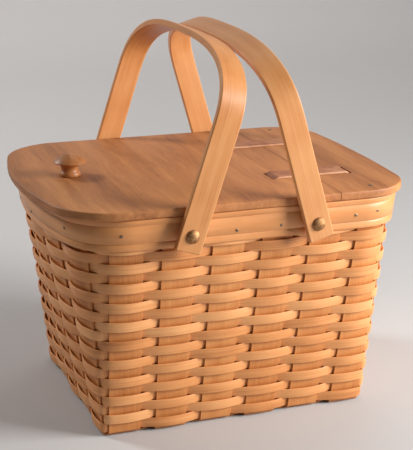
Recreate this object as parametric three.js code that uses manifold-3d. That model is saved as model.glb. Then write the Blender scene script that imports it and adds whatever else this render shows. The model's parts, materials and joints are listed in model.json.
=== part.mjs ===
// Woven splint picnic basket with a two-panel wooden lid and two swing handles.
// Millimetres, +Z up. The origin is on the table, under the middle of the overall length.
// X runs along the long side, and the front long side faces -Y.

import * as THREE from 'three';
import { mergeVertices } from 'three/addons/utils/BufferGeometryUtils.js';
import Module from 'manifold-3d';

// Woven wall, measured at the middle of its thickness on the base
const BASE_LENGTH = 260;
const BASE_WIDTH = 198;
const BASE_CORNER_INSET = 3.5;
const LONG_SIDE_SPLINTS = 6;
const SHORT_SIDE_SPLINTS = 5;
const SPLINT_WIDTH = 30;
const SPLINT_THICKNESS = 1.6;
const SPLINT_TOP_DROP = 0.7;
const WEAVER_WIDTH = 8.95;
const WEAVER_THICKNESS = 1.4;
const ROW_GAP = 0.4;
const FIRST_ROW_HEIGHT = 4.4;
const NARROWEST_ROW = 2;

// Rim, measured outside the outer band at its top edge; the bows of its two ends go beyond its length
const RIM_LENGTH = 307.5;
const RIM_WIDTH = 262;
const RIM_CORNER_RADIUS = 44;
const RIM_LEFT_BOW = 25;
const RIM_RIGHT_BOW = 8;
const RIM_HEIGHT = 214.3;
const RIM_MIDDLE_X = 1.5;
const LONG_SIDE_SHIFT = 5;
const RIM_BAND_HEIGHT = 29;
const OUTER_BAND_THICKNESS = 4.5;
const INNER_BAND_THICKNESS = 6.5;

// Lid; its lifting end is at the left, and its fixed panel at the right
const LID_THICKNESS = 7.9;
const LID_LEFT_OVERHANG = 6.25;
const LID_RIGHT_OVERHANG = 3.25;
const LID_SIDE_OVERHANG = 1;
const LID_CORNER_TRIM = 2;
const FIXED_PANEL_LENGTH = 83.3;
const LID_SPLIT_GAP = 0.6;
const NAIL_HEAD_DIAMETER = 4.4;
const NAIL_HEAD_HEIGHT = 0.8;
const NAIL_DIAMETER = 1.8;
const NAIL_BITE = 11;

// Leather hinge straps
const STRAP_WIDTH = 22.2;
const STRAP_THICKNESS = 2;
const STRAP_REACH = 38.5;
const STRAP_TAIL = 14;
const STRAP_SPACING = 120;

// Knob, a domed cap on a waisted neck
const KNOB_INSET = 50.8;
const KNOB_DIAMETER = 31.75;
const KNOB_FOOT_DIAMETER = 20;
const KNOB_FOOT_HEIGHT = 1.8;
const KNOB_NECK_DIAMETER = 15.5;
const KNOB_NECK_HEIGHT = 6;
const KNOB_CAP_FLARE = 5;
const KNOB_CAP_EDGE = 1.2;
const KNOB_CAP_DOME = 7;
const KNOB_SCREW_DIAMETER = 4;
const KNOB_SCREW_DEPTH = 12;
const KNOB_SCREW_HEAD_DIAMETER = 9;
const KNOB_SCREW_HEAD_HEIGHT = 2.5;

// Swing handles
const HANDLE_WIDTH = 23.8;
const HANDLE_THICKNESS = 6;
const HANDLE_RISE = 160.5;
const HANDLE_STRAIGHT_LEG = 94;
const HANDLE_TAIL = 15;
const HANDLE_ARCH_POWER = 2.85;
const HANDLE_PIVOT_INSET = 23.2;
const HANDLE_PIVOT_DROP = 16;
const HANDLE_MIDDLE_X = -2;
const HANDLE_MEETING_X = -0.8;
const HANDLE_LID_CLEARANCE = 3;
const HANDLE_TOP_GAP = 0.5;
const RIVET_DIAMETER = 6;
const RIVET_HEAD_DIAMETER = 12.7;
const RIVET_HEAD_HEIGHT = 3.6;
const RIVET_TAIL = 1.2;
const SPACER_DIAMETER = 13;
const BURR_DIAMETER = 13;
const BURR_THICKNESS = 2;

// Clearances between touching pieces
const FIT_CLEARANCE = 0.3;
const WEAVE_CLEARANCE = 0.5;
const CROSSING_MARGIN = 1.5;

// Facets of round pieces
const ROUND_SIDES = 12;
const RIM_LINE_STEPS = 240;
const LID_LINE_STEPS = 120;
const LID_CURVE_STEPS = 8;
const KNOB_SIDES = 18;
const ARCH_STEPS = 14;
const DOME_STEPS = 4;
const BAND_STEPS = 2;

const HALF_SPLINT = SPLINT_THICKNESS / 2;
const BAND_BOTTOM = RIM_HEIGHT - RIM_BAND_HEIGHT;
const BASE_CROSSING = (SPLINT_THICKNESS + WEAVE_CLEARANCE) / 2;
const BASE_MIDDLE = BASE_CROSSING + HALF_SPLINT;
const OUTER_BAND_INSIDE = HALF_SPLINT + WEAVE_CLEARANCE;
const OUTER_BAND_OUTSIDE = OUTER_BAND_INSIDE + OUTER_BAND_THICKNESS;
const INNER_BAND_INSIDE = HALF_SPLINT + WEAVE_CLEARANCE + INNER_BAND_THICKNESS;
const LID_BOTTOM = RIM_HEIGHT + FIT_CLEARANCE;
const LID_TOP = LID_BOTTOM + LID_THICKNESS;
const LID_HALF_WIDTH = RIM_WIDTH / 2 + LID_SIDE_OVERHANG;
const HANDLE_LEG_Y = LID_HALF_WIDTH + HANDLE_LID_CLEARANCE + HANDLE_THICKNESS / 2;
const HANDLE_PIVOT_HEIGHT = RIM_HEIGHT - HANDLE_PIVOT_DROP;

const wasm = await Module();
wasm.setup();

const basket = new THREE.Group();

function addPiece(parent, name, geometry, material) {
  const mesh = new THREE.Mesh(geometry, material);
  mesh.name = name;
  parent.add(mesh);
  return mesh;
}

function wood(color, roughness) {
  return new THREE.MeshStandardMaterial({ color, roughness, metalness: 0 });
}

const SPLINT_WOOD = wood(0xc08a4e, 0.55);
const WEAVER_WOOD = wood(0xc9934f, 0.5);
const RIM_WOOD = wood(0xcf9a5c, 0.5);
const HANDLE_WOOD = wood(0xd0985a, 0.5);
const LID_WOOD = wood(0x9a5f38, 0.5);
const KNOB_WOOD = wood(0x9c6238, 0.45);
const LEATHER = wood(0xb98468, 0.7);
const BRONZE = new THREE.MeshStandardMaterial({ color: 0x7a5638, roughness: 0.45, metalness: 0.8 });
const STEEL = new THREE.MeshStandardMaterial({ color: 0x8c8680, roughness: 0.4, metalness: 0.9 });

// A closed geometry with shared corners, as the cuts and the joins need it
function shareCorners(geometry) {
  const bare = geometry.clone();
  bare.deleteAttribute('normal');
  bare.deleteAttribute('uv');
  return mergeVertices(bare);
}

function toSolid(geometry) {
  const shared = shareCorners(geometry);
  const vertProperties = new Float32Array(shared.attributes.position.array);
  const triVerts = new Uint32Array(shared.index.array);
  return new wasm.Manifold(new wasm.Mesh({ numProp: 3, vertProperties, triVerts }));
}

function cutAway(geometry, tools) {
  let solid = toSolid(geometry);
  for (const tool of tools) solid = solid.subtract(toSolid(tool));
  const mesh = solid.getMesh();
  const result = new THREE.BufferGeometry();
  result.setAttribute('position', new THREE.BufferAttribute(new Float32Array(mesh.vertProperties), 3));
  result.setIndex(new THREE.BufferAttribute(new Uint32Array(mesh.triVerts), 1));
  return result;
}

// Joins a row of equal outlines, each a list of corners, into one closed skin
function loft(outlines, closed) {
  const corners = outlines[0].length;
  const steps = closed ? outlines.length : outlines.length - 1;
  const index = [];
  for (let step = 0; step < steps; step++) {
    const here = step * corners;
    const there = ((step + 1) % outlines.length) * corners;
    for (let k = 0; k < corners; k++) {
      const next = (k + 1) % corners;
      index.push(here + k, there + k, there + next, here + k, there + next, here + next);
    }
  }
  if (!closed) {
    const last = (outlines.length - 1) * corners;
    for (let k = 1; k < corners - 1; k++) {
      index.push(0, k, k + 1, last, last + k + 1, last + k);
    }
  }
  const geometry = new THREE.BufferGeometry().setFromPoints(outlines.flat());
  geometry.setIndex(index);
  return geometry;
}

// A rounded rectangle with its two ends bowed out, as points from the middle of its front
function bowedOutline(halfLength, halfWidth, radius, steps) {
  const x = halfLength - radius;
  const y = halfWidth - radius;
  const quarter = Math.PI / 2;
  const line = new THREE.Path();
  line.moveTo(0, -halfWidth);
  line.lineTo(x, -halfWidth);
  line.absarc(x, -y, radius, -quarter, 0);
  line.lineTo(halfLength, y);
  line.absarc(x, y, radius, 0, quarter);
  line.lineTo(-x, halfWidth);
  line.absarc(-x, y, radius, quarter, 2 * quarter);
  line.lineTo(-halfLength, -y);
  line.absarc(-x, -y, radius, 2 * quarter, 3 * quarter);
  line.lineTo(0, -halfWidth);
  return line.getSpacedPoints(steps).map((point) => {
    const bow = point.x < 0 ? -RIM_LEFT_BOW : RIM_RIGHT_BOW;
    return new THREE.Vector2(point.x + bow * (1 - (point.y / halfWidth) ** 2), point.y);
  });
}

// Line of the wall at the rim. Its left half is longer, so it starts a little left of the front's middle.
const RIM_HALF_LENGTH = RIM_LENGTH / 2 - OUTER_BAND_OUTSIDE;
const RIM_HALF_WIDTH = RIM_WIDTH / 2 - OUTER_BAND_OUTSIDE;
const WALL_RADIUS = RIM_CORNER_RADIUS - OUTER_BAND_OUTSIDE;
const rimPoints = bowedOutline(RIM_HALF_LENGTH, RIM_HALF_WIDTH, WALL_RADIUS, RIM_LINE_STEPS);
const RIM_LINE = new THREE.Path(rimPoints);
const RIM_LINE_LENGTH = RIM_LINE.getLength();
const RIGHT_HALF_LENGTH = new THREE.Path(rimPoints.slice(0, RIM_LINE_STEPS / 2 + 1)).getLength();
const RIM_LINE_START = (2 * RIGHT_HALF_LENGTH - RIM_LINE_LENGTH) / 4;

function onRimLine(distance) {
  const share = (RIM_LINE_START + distance) / RIM_LINE_LENGTH;
  const point = RIM_LINE.getPoint(THREE.MathUtils.euclideanModulo(share, 1));
  point.x += RIM_MIDDLE_X;
  return point;
}

// One upright of the wall: two edges that run straight from the base to the rim
function makeUpright(baseMiddle, baseDirection, rimDistance) {
  const half = SPLINT_WIDTH / 2;
  const edges = [-half, half].map((shift) => ({
    foot: baseMiddle.clone().addScaledVector(baseDirection, shift),
    head: onRimLine(rimDistance + shift),
  }));
  const edgeAt = (edge, z) => {
    const share = (z - BASE_MIDDLE) / (RIM_HEIGHT - BASE_MIDDLE);
    return edge.foot.clone().lerp(edge.head, share);
  };
  return {
    at(z) {
      const first = edgeAt(edges[0], z);
      const second = edgeAt(edges[1], z);
      const along = second.clone().sub(first).normalize();
      const outward = new THREE.Vector2(along.y, -along.x);
      return { first, second, along, outward };
    },
  };
}

// The four sides, in turn: front, right end, back, left end, anticlockwise from above.
// At the rim the uprights of the long sides stand a little to the right, by their own shift.
const LONG_PITCH = (BASE_LENGTH - SPLINT_WIDTH - 2 * BASE_CORNER_INSET) / (LONG_SIDE_SPLINTS - 1);
const SHORT_PITCH = (BASE_WIDTH - SPLINT_WIDTH - 2 * BASE_CORNER_INSET) / (SHORT_SIDE_SPLINTS - 1);
const RIM_PITCH = RIM_LINE_LENGTH / (2 * (LONG_SIDE_SPLINTS + SHORT_SIDE_SPLINTS));
const SIDES = [
  { count: LONG_SIDE_SPLINTS, pitch: LONG_PITCH, turn: 0, reach: BASE_WIDTH / 2, shift: LONG_SIDE_SHIFT },
  { count: SHORT_SIDE_SPLINTS, pitch: SHORT_PITCH, turn: 1, reach: BASE_LENGTH / 2, shift: 0 },
  { count: LONG_SIDE_SPLINTS, pitch: LONG_PITCH, turn: 2, reach: BASE_WIDTH / 2, shift: -LONG_SIDE_SHIFT },
  { count: SHORT_SIDE_SPLINTS, pitch: SHORT_PITCH, turn: 3, reach: BASE_LENGTH / 2, shift: 0 },
];

const sideUprights = SIDES.map(({ count, pitch, turn, reach, shift }) => {
  const angle = (turn * Math.PI) / 2;
  const direction = new THREE.Vector2(Math.cos(angle), Math.sin(angle));
  const outward = new THREE.Vector2(direction.y, -direction.x);
  const row = [];
  for (let k = 0; k < count; k++) {
    const fromMiddle = k - (count - 1) / 2;
    const foot = outward.clone().multiplyScalar(reach).addScaledVector(direction, fromMiddle * pitch);
    const rimMiddle = (turn * RIM_LINE_LENGTH) / 4 + shift;
    row.push(makeUpright(foot, direction, rimMiddle + fromMiddle * RIM_PITCH));
  }
  return row;
});
const uprights = sideUprights.flat();

// Corners of the wall at a height, two for each upright, each upright moved out by its own offset
function wallCorners(z, offsetOf, margin) {
  return uprights.flatMap((upright, k) => {
    const { first, second, along, outward } = upright.at(z);
    const offset = offsetOf(k);
    first.addScaledVector(along, -margin).addScaledVector(outward, offset);
    second.addScaledVector(along, margin).addScaledVector(outward, offset);
    return [first, second];
  });
}

// Moves a closed line of corners outward by a distance, with mitred corners
function moveOut(corners, distance) {
  const count = corners.length;
  return corners.map((corner, k) => {
    const before = corner.clone().sub(corners[(k + count - 1) % count]).normalize();
    const after = corners[(k + 1) % count].clone().sub(corner).normalize();
    const bisector = new THREE.Vector2(before.y + after.y, -before.x - after.x).normalize();
    const reach = distance / (bisector.x * after.y - bisector.y * after.x);
    return corner.clone().addScaledVector(bisector, reach);
  });
}

function lift(points, z) {
  return points.map((point) => new THREE.Vector3(point.x, point.y, z));
}

// A band round the wall between two heights, with its faces at two distances from its line
function roundBand(heights, lineAt, inside, outside) {
  const outer = heights.map((z) => lift(moveOut(lineAt(z), outside), z));
  const inner = heights.map((z) => lift(moveOut(lineAt(z), inside), z));
  const outlines = outer[0].map((_, k) => [
    ...outer.map((ring) => ring[k]),
    ...inner.map((ring) => ring[k]).reverse(),
  ]);
  return loft(outlines, true);
}

// Weavers: each row passes outside one upright and inside the next, and the next row does the reverse
const WEAVER_OFFSET = HALF_SPLINT + WEAVE_CLEARANCE + WEAVER_THICKNESS / 2;
const ROW_PITCH = WEAVER_WIDTH + ROW_GAP;
const WOVEN_HEIGHT = BAND_BOTTOM - FIRST_ROW_HEIGHT;
const FULL_ROWS = Math.floor(WOVEN_HEIGHT / ROW_PITCH);
const LAST_ROW_WIDTH = WOVEN_HEIGHT - FULL_ROWS * ROW_PITCH - ROW_GAP;
const ROWS = FULL_ROWS + (LAST_ROW_WIDTH > NARROWEST_ROW ? 1 : 0);

for (let row = 0; row < ROWS; row++) {
  const bottom = FIRST_ROW_HEIGHT + row * ROW_PITCH;
  const top = bottom + (row < FULL_ROWS ? WEAVER_WIDTH : LAST_ROW_WIDTH);
  const sideOf = (k) => ((k + row) % 2 === 0 ? -WEAVER_OFFSET : WEAVER_OFFSET);
  const lineAt = (z) => wallCorners(z, sideOf, CROSSING_MARGIN);
  const half = WEAVER_THICKNESS / 2;
  const name = `weaver_row_${String(row + 1).padStart(2, '0')}`;
  addPiece(basket, name, roundBand([bottom, top], lineAt, -half, half), WEAVER_WOOD);
}

// Handle pivots, a little closer together than the second uprights from both ends of a long side
function uprightMiddle(upright) {
  const { first, second } = upright.at(HANDLE_PIVOT_HEIGHT);
  return (first.x + second.x) / 2;
}

const secondUprights = [sideUprights[0][1], sideUprights[0][LONG_SIDE_SPLINTS - 2]].map(uprightMiddle);
const HANDLE_PIVOT_SPACING = secondUprights[1] - secondUprights[0] - HANDLE_PIVOT_INSET;
const pivotPlaces = [-0.5, 0.5].map((share) => HANDLE_MIDDLE_X + share * HANDLE_PIVOT_SPACING);

// Rim: an outer and an inner band that clamp the tops of the uprights, drilled for the handle rivets
const RIVET_HOLE_RADIUS = RIVET_DIAMETER / 2 + FIT_CLEARANCE;

function rivetDrill(x) {
  const drill = new THREE.CylinderGeometry(RIVET_HOLE_RADIUS, RIVET_HOLE_RADIUS, 2 * RIM_WIDTH, ROUND_SIDES);
  return drill.translate(x, 0, HANDLE_PIVOT_HEIGHT);
}

const rivetDrills = pivotPlaces.map(rivetDrill);
const wallLine = (z) => wallCorners(z, () => 0, 0);
const bandHeights = [];
for (let step = 0; step <= BAND_STEPS; step++) {
  bandHeights.push(BAND_BOTTOM + (step * RIM_BAND_HEIGHT) / BAND_STEPS);
}

// Nails through the fixed panel stand over the inner band, at the outermost upright of each long side
const nailSpots = [
  { name: 'lid_nail_front', upright: sideUprights[0][LONG_SIDE_SPLINTS - 1] },
  { name: 'lid_nail_back', upright: sideUprights[2][0] },
].map(({ name, upright }) => {
  const { first, second, outward } = upright.at(RIM_HEIGHT);
  const depth = INNER_BAND_INSIDE - INNER_BAND_THICKNESS / 2;
  const spot = first.clone().add(second).multiplyScalar(0.5).addScaledVector(outward, -depth);
  return { name, spot };
});
const NAIL_HOLE_RADIUS = NAIL_DIAMETER / 2 + FIT_CLEARANCE;
const NAIL_HOLE_DEPTH = NAIL_BITE + FIT_CLEARANCE;
const nailDrills = nailSpots.map(({ spot }) => {
  const drill = new THREE.CylinderGeometry(NAIL_HOLE_RADIUS, NAIL_HOLE_RADIUS, 2 * NAIL_HOLE_DEPTH, ROUND_SIDES);
  return drill.rotateX(Math.PI / 2).translate(spot.x, spot.y, RIM_HEIGHT);
});

const outerBand = roundBand(bandHeights, wallLine, OUTER_BAND_INSIDE, OUTER_BAND_OUTSIDE);
const innerBand = roundBand(bandHeights, wallLine, -INNER_BAND_INSIDE, -OUTER_BAND_INSIDE);
addPiece(basket, 'rim_outer_band', cutAway(outerBand, rivetDrills), RIM_WOOD);
addPiece(basket, 'rim_inner_band', cutAway(innerBand, [...rivetDrills, ...nailDrills]), RIM_WOOD);

// Splints: each runs up one side, across the base and up the other side, woven where they cross
const SPLINT_TOP = RIM_HEIGHT - SPLINT_TOP_DROP;
const wallHeights = [BASE_MIDDLE + WEAVE_CLEARANCE + SPLINT_THICKNESS];
for (let row = 0; row < ROWS; row++) wallHeights.push(FIRST_ROW_HEIGHT + row * ROW_PITCH);
for (const z of bandHeights) wallHeights.push(Math.min(z, SPLINT_TOP));

function wallSection(upright, z, flip) {
  const { first, second, outward } = upright.at(z);
  const left = flip ? second : first;
  const right = flip ? first : second;
  const corner = (edge, side) => {
    const moved = edge.clone().addScaledVector(outward, side * HALF_SPLINT);
    return new THREE.Vector3(moved.x, moved.y, z);
  };
  return [corner(left, -1), corner(right, -1), corner(right, 1), corner(left, 1)];
}

// A section of the base run: across is the direction of the run, side the way to its second edge
function baseSection(middle, run, z, bend) {
  const side = new THREE.Vector2(-run.y, run.x).multiplyScalar(SPLINT_WIDTH / 2);
  const corner = (sign, layer) => new THREE.Vector3(
    middle.x + sign * side.x - layer * bend * run.x * HALF_SPLINT,
    middle.y + sign * side.y - layer * bend * run.y * HALF_SPLINT,
    z - layer * HALF_SPLINT,
  );
  return [corner(-1, -1), corner(1, -1), corner(1, 1), corner(-1, 1)];
}

function splint(startUpright, endUpright, run, across, reach, crossings, startsHigh) {
  const twisted = !startUpright.straight;
  const heights = twisted ? wallHeights : [wallHeights[0], SPLINT_TOP];
  const outlines = [...heights].reverse().map((z) => wallSection(startUpright, z, true));
  const point = (distance) => across.clone().addScaledVector(run, distance);
  const levelOf = (k) => BASE_MIDDLE + ((k % 2 === 0) === startsHigh ? 1 : -1) * BASE_CROSSING;
  outlines.push(baseSection(point(-reach), run, levelOf(0), 1));
  const half = SPLINT_WIDTH / 2 + CROSSING_MARGIN;
  crossings.forEach((place, k) => {
    outlines.push(baseSection(point(place - half), run, levelOf(k), 0));
    outlines.push(baseSection(point(place + half), run, levelOf(k), 0));
  });
  outlines.push(baseSection(point(reach), run, levelOf(crossings.length - 1), -1));
  for (const z of heights) outlines.push(wallSection(endUpright, z, false));
  return loft(outlines, false);
}

function placesAlong(count, pitch) {
  return Array.from({ length: count }, (_, k) => (k - (count - 1) / 2) * pitch);
}

const longPlaces = placesAlong(LONG_SIDE_SPLINTS, LONG_PITCH);
const shortPlaces = placesAlong(SHORT_SIDE_SPLINTS, SHORT_PITCH);

// An upright that stands on a straight stretch of rim is flat from base to rim
function markStraight(row) {
  row.forEach((upright) => {
    const foot = upright.at(BASE_MIDDLE).outward;
    const head = upright.at(RIM_HEIGHT).outward;
    upright.straight = foot.distanceTo(head) < 1e-6;
  });
}

sideUprights.forEach(markStraight);

longPlaces.forEach((x, k) => {
  const front = sideUprights[0][k];
  const back = sideUprights[2][LONG_SIDE_SPLINTS - 1 - k];
  const run = new THREE.Vector2(0, 1);
  const across = new THREE.Vector2(x, 0);
  const geometry = splint(front, back, run, across, BASE_WIDTH / 2, shortPlaces, k % 2 === 0);
  const { first, second } = front.at(HANDLE_PIVOT_HEIGHT);
  const near = pivotPlaces.filter((pivot) => {
    return pivot > first.x - RIVET_HOLE_RADIUS && pivot < second.x + RIVET_HOLE_RADIUS;
  });
  const drilled = near.length > 0 ? cutAway(geometry, near.map(rivetDrill)) : geometry;
  addPiece(basket, `cross_splint_${k + 1}`, drilled, SPLINT_WOOD);
});

shortPlaces.forEach((y, k) => {
  const left = sideUprights[3][SHORT_SIDE_SPLINTS - 1 - k];
  const right = sideUprights[1][k];
  const run = new THREE.Vector2(1, 0);
  const across = new THREE.Vector2(0, y);
  const geometry = splint(left, right, run, across, BASE_LENGTH / 2, longPlaces, k % 2 !== 0);
  addPiece(basket, `long_splint_${k + 1}`, geometry, SPLINT_WOOD);
});

// Lid: one board with rounded corners and bowed ends, sawn in two at the split, with slots for the straps
const LID_LEFT = RIM_MIDDLE_X - RIM_LENGTH / 2 - RIM_LEFT_BOW - LID_LEFT_OVERHANG;
const LID_RIGHT = RIM_MIDDLE_X + RIM_LENGTH / 2 + RIM_RIGHT_BOW + LID_RIGHT_OVERHANG;
const LID_RADIUS = RIM_CORNER_RADIUS - LID_CORNER_TRIM;
const LID_SPLIT_X = LID_RIGHT - FIXED_PANEL_LENGTH;
const KNOB_X = LID_LEFT + KNOB_INSET;
const STRAP_LEFT = LID_SPLIT_X - STRAP_REACH;
const STRAP_RIGHT = LID_SPLIT_X + STRAP_REACH;
const strapPlaces = [-STRAP_SPACING / 2, STRAP_SPACING / 2];

function lidOutline() {
  const left = LID_LEFT + RIM_LEFT_BOW;
  const right = LID_RIGHT - RIM_RIGHT_BOW;
  const points = bowedOutline((right - left) / 2, LID_HALF_WIDTH, LID_RADIUS, LID_LINE_STEPS);
  const middle = new THREE.Vector2((left + right) / 2, 0);
  return new THREE.Shape(points.slice(0, -1).map((point) => point.add(middle)));
}

function roundHole(x, y, radius) {
  const hole = new THREE.Path();
  hole.absarc(x, y, radius, 0, 2 * Math.PI);
  return hole;
}

function strapSlot(x, y) {
  const left = x - FIT_CLEARANCE;
  const right = x + STRAP_THICKNESS + FIT_CLEARANCE;
  const half = STRAP_WIDTH / 2 + FIT_CLEARANCE;
  const slot = new THREE.Path();
  slot.moveTo(left, y - half);
  slot.lineTo(right, y - half);
  slot.lineTo(right, y + half);
  slot.lineTo(left, y + half);
  slot.closePath();
  return slot;
}

// The part of the lid board that is left when everything between two places along it is sawn off
function sawnPanel(holes, offFrom, offTo) {
  const outline = lidOutline();
  outline.holes.push(...holes);
  const options = { depth: LID_THICKNESS, bevelEnabled: false, curveSegments: LID_CURVE_STEPS };
  const board = new THREE.ExtrudeGeometry(outline, options).translate(0, 0, LID_BOTTOM);
  const off = new THREE.BoxGeometry(offTo - offFrom, 4 * LID_HALF_WIDTH, 4 * LID_THICKNESS);
  return cutAway(board, [off.translate((offFrom + offTo) / 2, 0, LID_BOTTOM)]);
}

const leftHoles = [
  ...strapPlaces.map((y) => strapSlot(STRAP_LEFT, y)),
  roundHole(KNOB_X, 0, KNOB_SCREW_DIAMETER / 2 + FIT_CLEARANCE),
];
const rightHoles = [
  ...strapPlaces.map((y) => strapSlot(STRAP_RIGHT - STRAP_THICKNESS, y)),
  ...nailSpots.map(({ spot }) => roundHole(spot.x, spot.y, NAIL_HOLE_RADIUS)),
];
const LID_LENGTH = LID_RIGHT - LID_LEFT;
const leftEdge = LID_SPLIT_X - LID_SPLIT_GAP / 2;
const rightEdge = LID_SPLIT_X + LID_SPLIT_GAP / 2;
addPiece(basket, 'lid_panel', sawnPanel(leftHoles, leftEdge, leftEdge + LID_LENGTH), LID_WOOD);
addPiece(basket, 'fixed_lid_panel', sawnPanel(rightHoles, rightEdge - LID_LENGTH, rightEdge), LID_WOOD);

// Hinge straps: across the split on top, down through both slots, and tails turned out underneath
function strapGeometry(y) {
  const top = LID_TOP + FIT_CLEARANCE + STRAP_THICKNESS;
  const under = LID_BOTTOM - FIT_CLEARANCE;
  const profile = new THREE.Shape([
    new THREE.Vector2(STRAP_LEFT - STRAP_TAIL, under - STRAP_THICKNESS),
    new THREE.Vector2(STRAP_LEFT + STRAP_THICKNESS, under - STRAP_THICKNESS),
    new THREE.Vector2(STRAP_LEFT + STRAP_THICKNESS, top - STRAP_THICKNESS),
    new THREE.Vector2(STRAP_RIGHT - STRAP_THICKNESS, top - STRAP_THICKNESS),
    new THREE.Vector2(STRAP_RIGHT - STRAP_THICKNESS, under - STRAP_THICKNESS),
    new THREE.Vector2(STRAP_RIGHT + STRAP_TAIL, under - STRAP_THICKNESS),
    new THREE.Vector2(STRAP_RIGHT + STRAP_TAIL, under),
    new THREE.Vector2(STRAP_RIGHT, under),
    new THREE.Vector2(STRAP_RIGHT, top),
    new THREE.Vector2(STRAP_LEFT, top),
    new THREE.Vector2(STRAP_LEFT, under),
    new THREE.Vector2(STRAP_LEFT - STRAP_TAIL, under),
  ]);
  const strip = new THREE.ExtrudeGeometry(profile, { depth: STRAP_WIDTH, bevelEnabled: false });
  return strip.rotateX(Math.PI / 2).translate(0, y + STRAP_WIDTH / 2, 0);
}

addPiece(basket, 'hinge_strap_front', strapGeometry(strapPlaces[0]), LEATHER);
addPiece(basket, 'hinge_strap_back', strapGeometry(strapPlaces[1]), LEATHER);

// A turned piece from a profile of radius and height, standing along +Z
function turned(profile, sides) {
  const points = profile.map(([radius, height]) => new THREE.Vector2(radius, height));
  return new THREE.LatheGeometry(points, sides).rotateX(Math.PI / 2);
}

// Knob: a shallow domed cap that flares from a waisted neck, with a blind hole for its screw
const SCREW_HOLE_RADIUS = KNOB_SCREW_DIAMETER / 2 + FIT_CLEARANCE;
const CAP_RADIUS = KNOB_DIAMETER / 2;
const NECK_RADIUS = KNOB_NECK_DIAMETER / 2;
const NECK_TOP = KNOB_FOOT_HEIGHT + KNOB_NECK_HEIGHT;
const CAP_BOTTOM = NECK_TOP + KNOB_CAP_FLARE;
const DOME_BOTTOM = CAP_BOTTOM + KNOB_CAP_EDGE;
const knobProfile = [
  [0, KNOB_SCREW_DEPTH],
  [SCREW_HOLE_RADIUS, KNOB_SCREW_DEPTH],
  [SCREW_HOLE_RADIUS, 0],
  [KNOB_FOOT_DIAMETER / 2, 0],
  [KNOB_FOOT_DIAMETER / 2, KNOB_FOOT_HEIGHT],
  [NECK_RADIUS, KNOB_FOOT_HEIGHT + KNOB_NECK_HEIGHT / 2],
];
for (let step = 0; step <= DOME_STEPS; step++) {
  const angle = (step * Math.PI) / (2 * DOME_STEPS);
  const flare = (CAP_RADIUS - NECK_RADIUS) * (1 - Math.cos(angle));
  knobProfile.push([NECK_RADIUS + flare, NECK_TOP + KNOB_CAP_FLARE * Math.sin(angle)]);
}
for (let step = 0; step <= DOME_STEPS; step++) {
  const share = 1 - step / DOME_STEPS;
  knobProfile.push([CAP_RADIUS * share, DOME_BOTTOM + KNOB_CAP_DOME * (1 - share * share)]);
}
const KNOB_BOTTOM = LID_TOP + FIT_CLEARANCE;
const knob = turned(knobProfile, KNOB_SIDES).translate(KNOB_X, 0, KNOB_BOTTOM);
addPiece(basket, 'lid_knob', knob, KNOB_WOOD);

const SCREW_HEAD_TOP = LID_BOTTOM - FIT_CLEARANCE;
const SCREW_TIP = KNOB_BOTTOM + KNOB_SCREW_DEPTH - FIT_CLEARANCE;
const screwProfile = [
  [0, SCREW_HEAD_TOP - KNOB_SCREW_HEAD_HEIGHT],
  [KNOB_SCREW_HEAD_DIAMETER / 2, SCREW_HEAD_TOP - KNOB_SCREW_HEAD_HEIGHT],
  [KNOB_SCREW_HEAD_DIAMETER / 2, SCREW_HEAD_TOP],
  [KNOB_SCREW_DIAMETER / 2, SCREW_HEAD_TOP],
  [KNOB_SCREW_DIAMETER / 2, SCREW_TIP],
  [0, SCREW_TIP],
];
addPiece(basket, 'knob_screw', turned(screwProfile, ROUND_SIDES).translate(KNOB_X, 0, 0), STEEL);

// Lid nails, driven through the fixed panel into the inner band
const NAIL_SEAT = LID_TOP + FIT_CLEARANCE;
const nailProfile = [
  [0, RIM_HEIGHT - NAIL_BITE],
  [NAIL_DIAMETER / 2, RIM_HEIGHT - NAIL_BITE],
  [NAIL_DIAMETER / 2, NAIL_SEAT],
  [NAIL_HEAD_DIAMETER / 2, NAIL_SEAT],
  [NAIL_HEAD_DIAMETER / 2, NAIL_SEAT + NAIL_HEAD_HEIGHT],
  [0, NAIL_SEAT + NAIL_HEAD_HEIGHT],
];
for (const { name, spot } of nailSpots) {
  addPiece(basket, name, turned(nailProfile, ROUND_SIDES).translate(spot.x, spot.y, 0), STEEL);
}

// Handles: a flat bent strip, up one leg, over a rounded arch and down the other leg
function archLine() {
  const line = [new THREE.Vector2(-HANDLE_LEG_Y, -HANDLE_TAIL)];
  const power = 2 / HANDLE_ARCH_POWER;
  const rise = HANDLE_RISE - HANDLE_STRAIGHT_LEG;
  for (let step = 0; step <= 2 * ARCH_STEPS; step++) {
    const angle = (step * Math.PI) / (2 * ARCH_STEPS);
    const across = Math.sign(Math.cos(angle)) * Math.abs(Math.cos(angle)) ** power;
    const up = Math.sin(angle) ** power;
    line.push(new THREE.Vector2(-HANDLE_LEG_Y * across, HANDLE_STRAIGHT_LEG + rise * up));
  }
  line.push(new THREE.Vector2(HANDLE_LEG_Y, -HANDLE_TAIL));
  return line;
}

function handleGeometry() {
  const line = archLine();
  const half = HANDLE_THICKNESS / 2;
  const outlines = line.map((point, k) => {
    const before = line[Math.max(k - 1, 0)];
    const after = line[Math.min(k + 1, line.length - 1)];
    const along = after.clone().sub(before).normalize();
    const outward = new THREE.Vector2(-along.y, along.x);
    if (k <= 1) outward.set(-1, 0);
    if (k >= line.length - 2) outward.set(1, 0);
    const corner = (side, face) => new THREE.Vector3(
      (side * HANDLE_WIDTH) / 2,
      point.x + face * half * outward.x,
      point.y + face * half * outward.y,
    );
    return [corner(-1, -1), corner(1, -1), corner(1, 1), corner(-1, 1)];
  });
  const drillLength = 4 * HANDLE_LEG_Y;
  const drill = new THREE.CylinderGeometry(RIVET_HOLE_RADIUS, RIVET_HOLE_RADIUS, drillLength, ROUND_SIDES);
  return cutAway(loft(outlines, false), [drill]);
}

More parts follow.
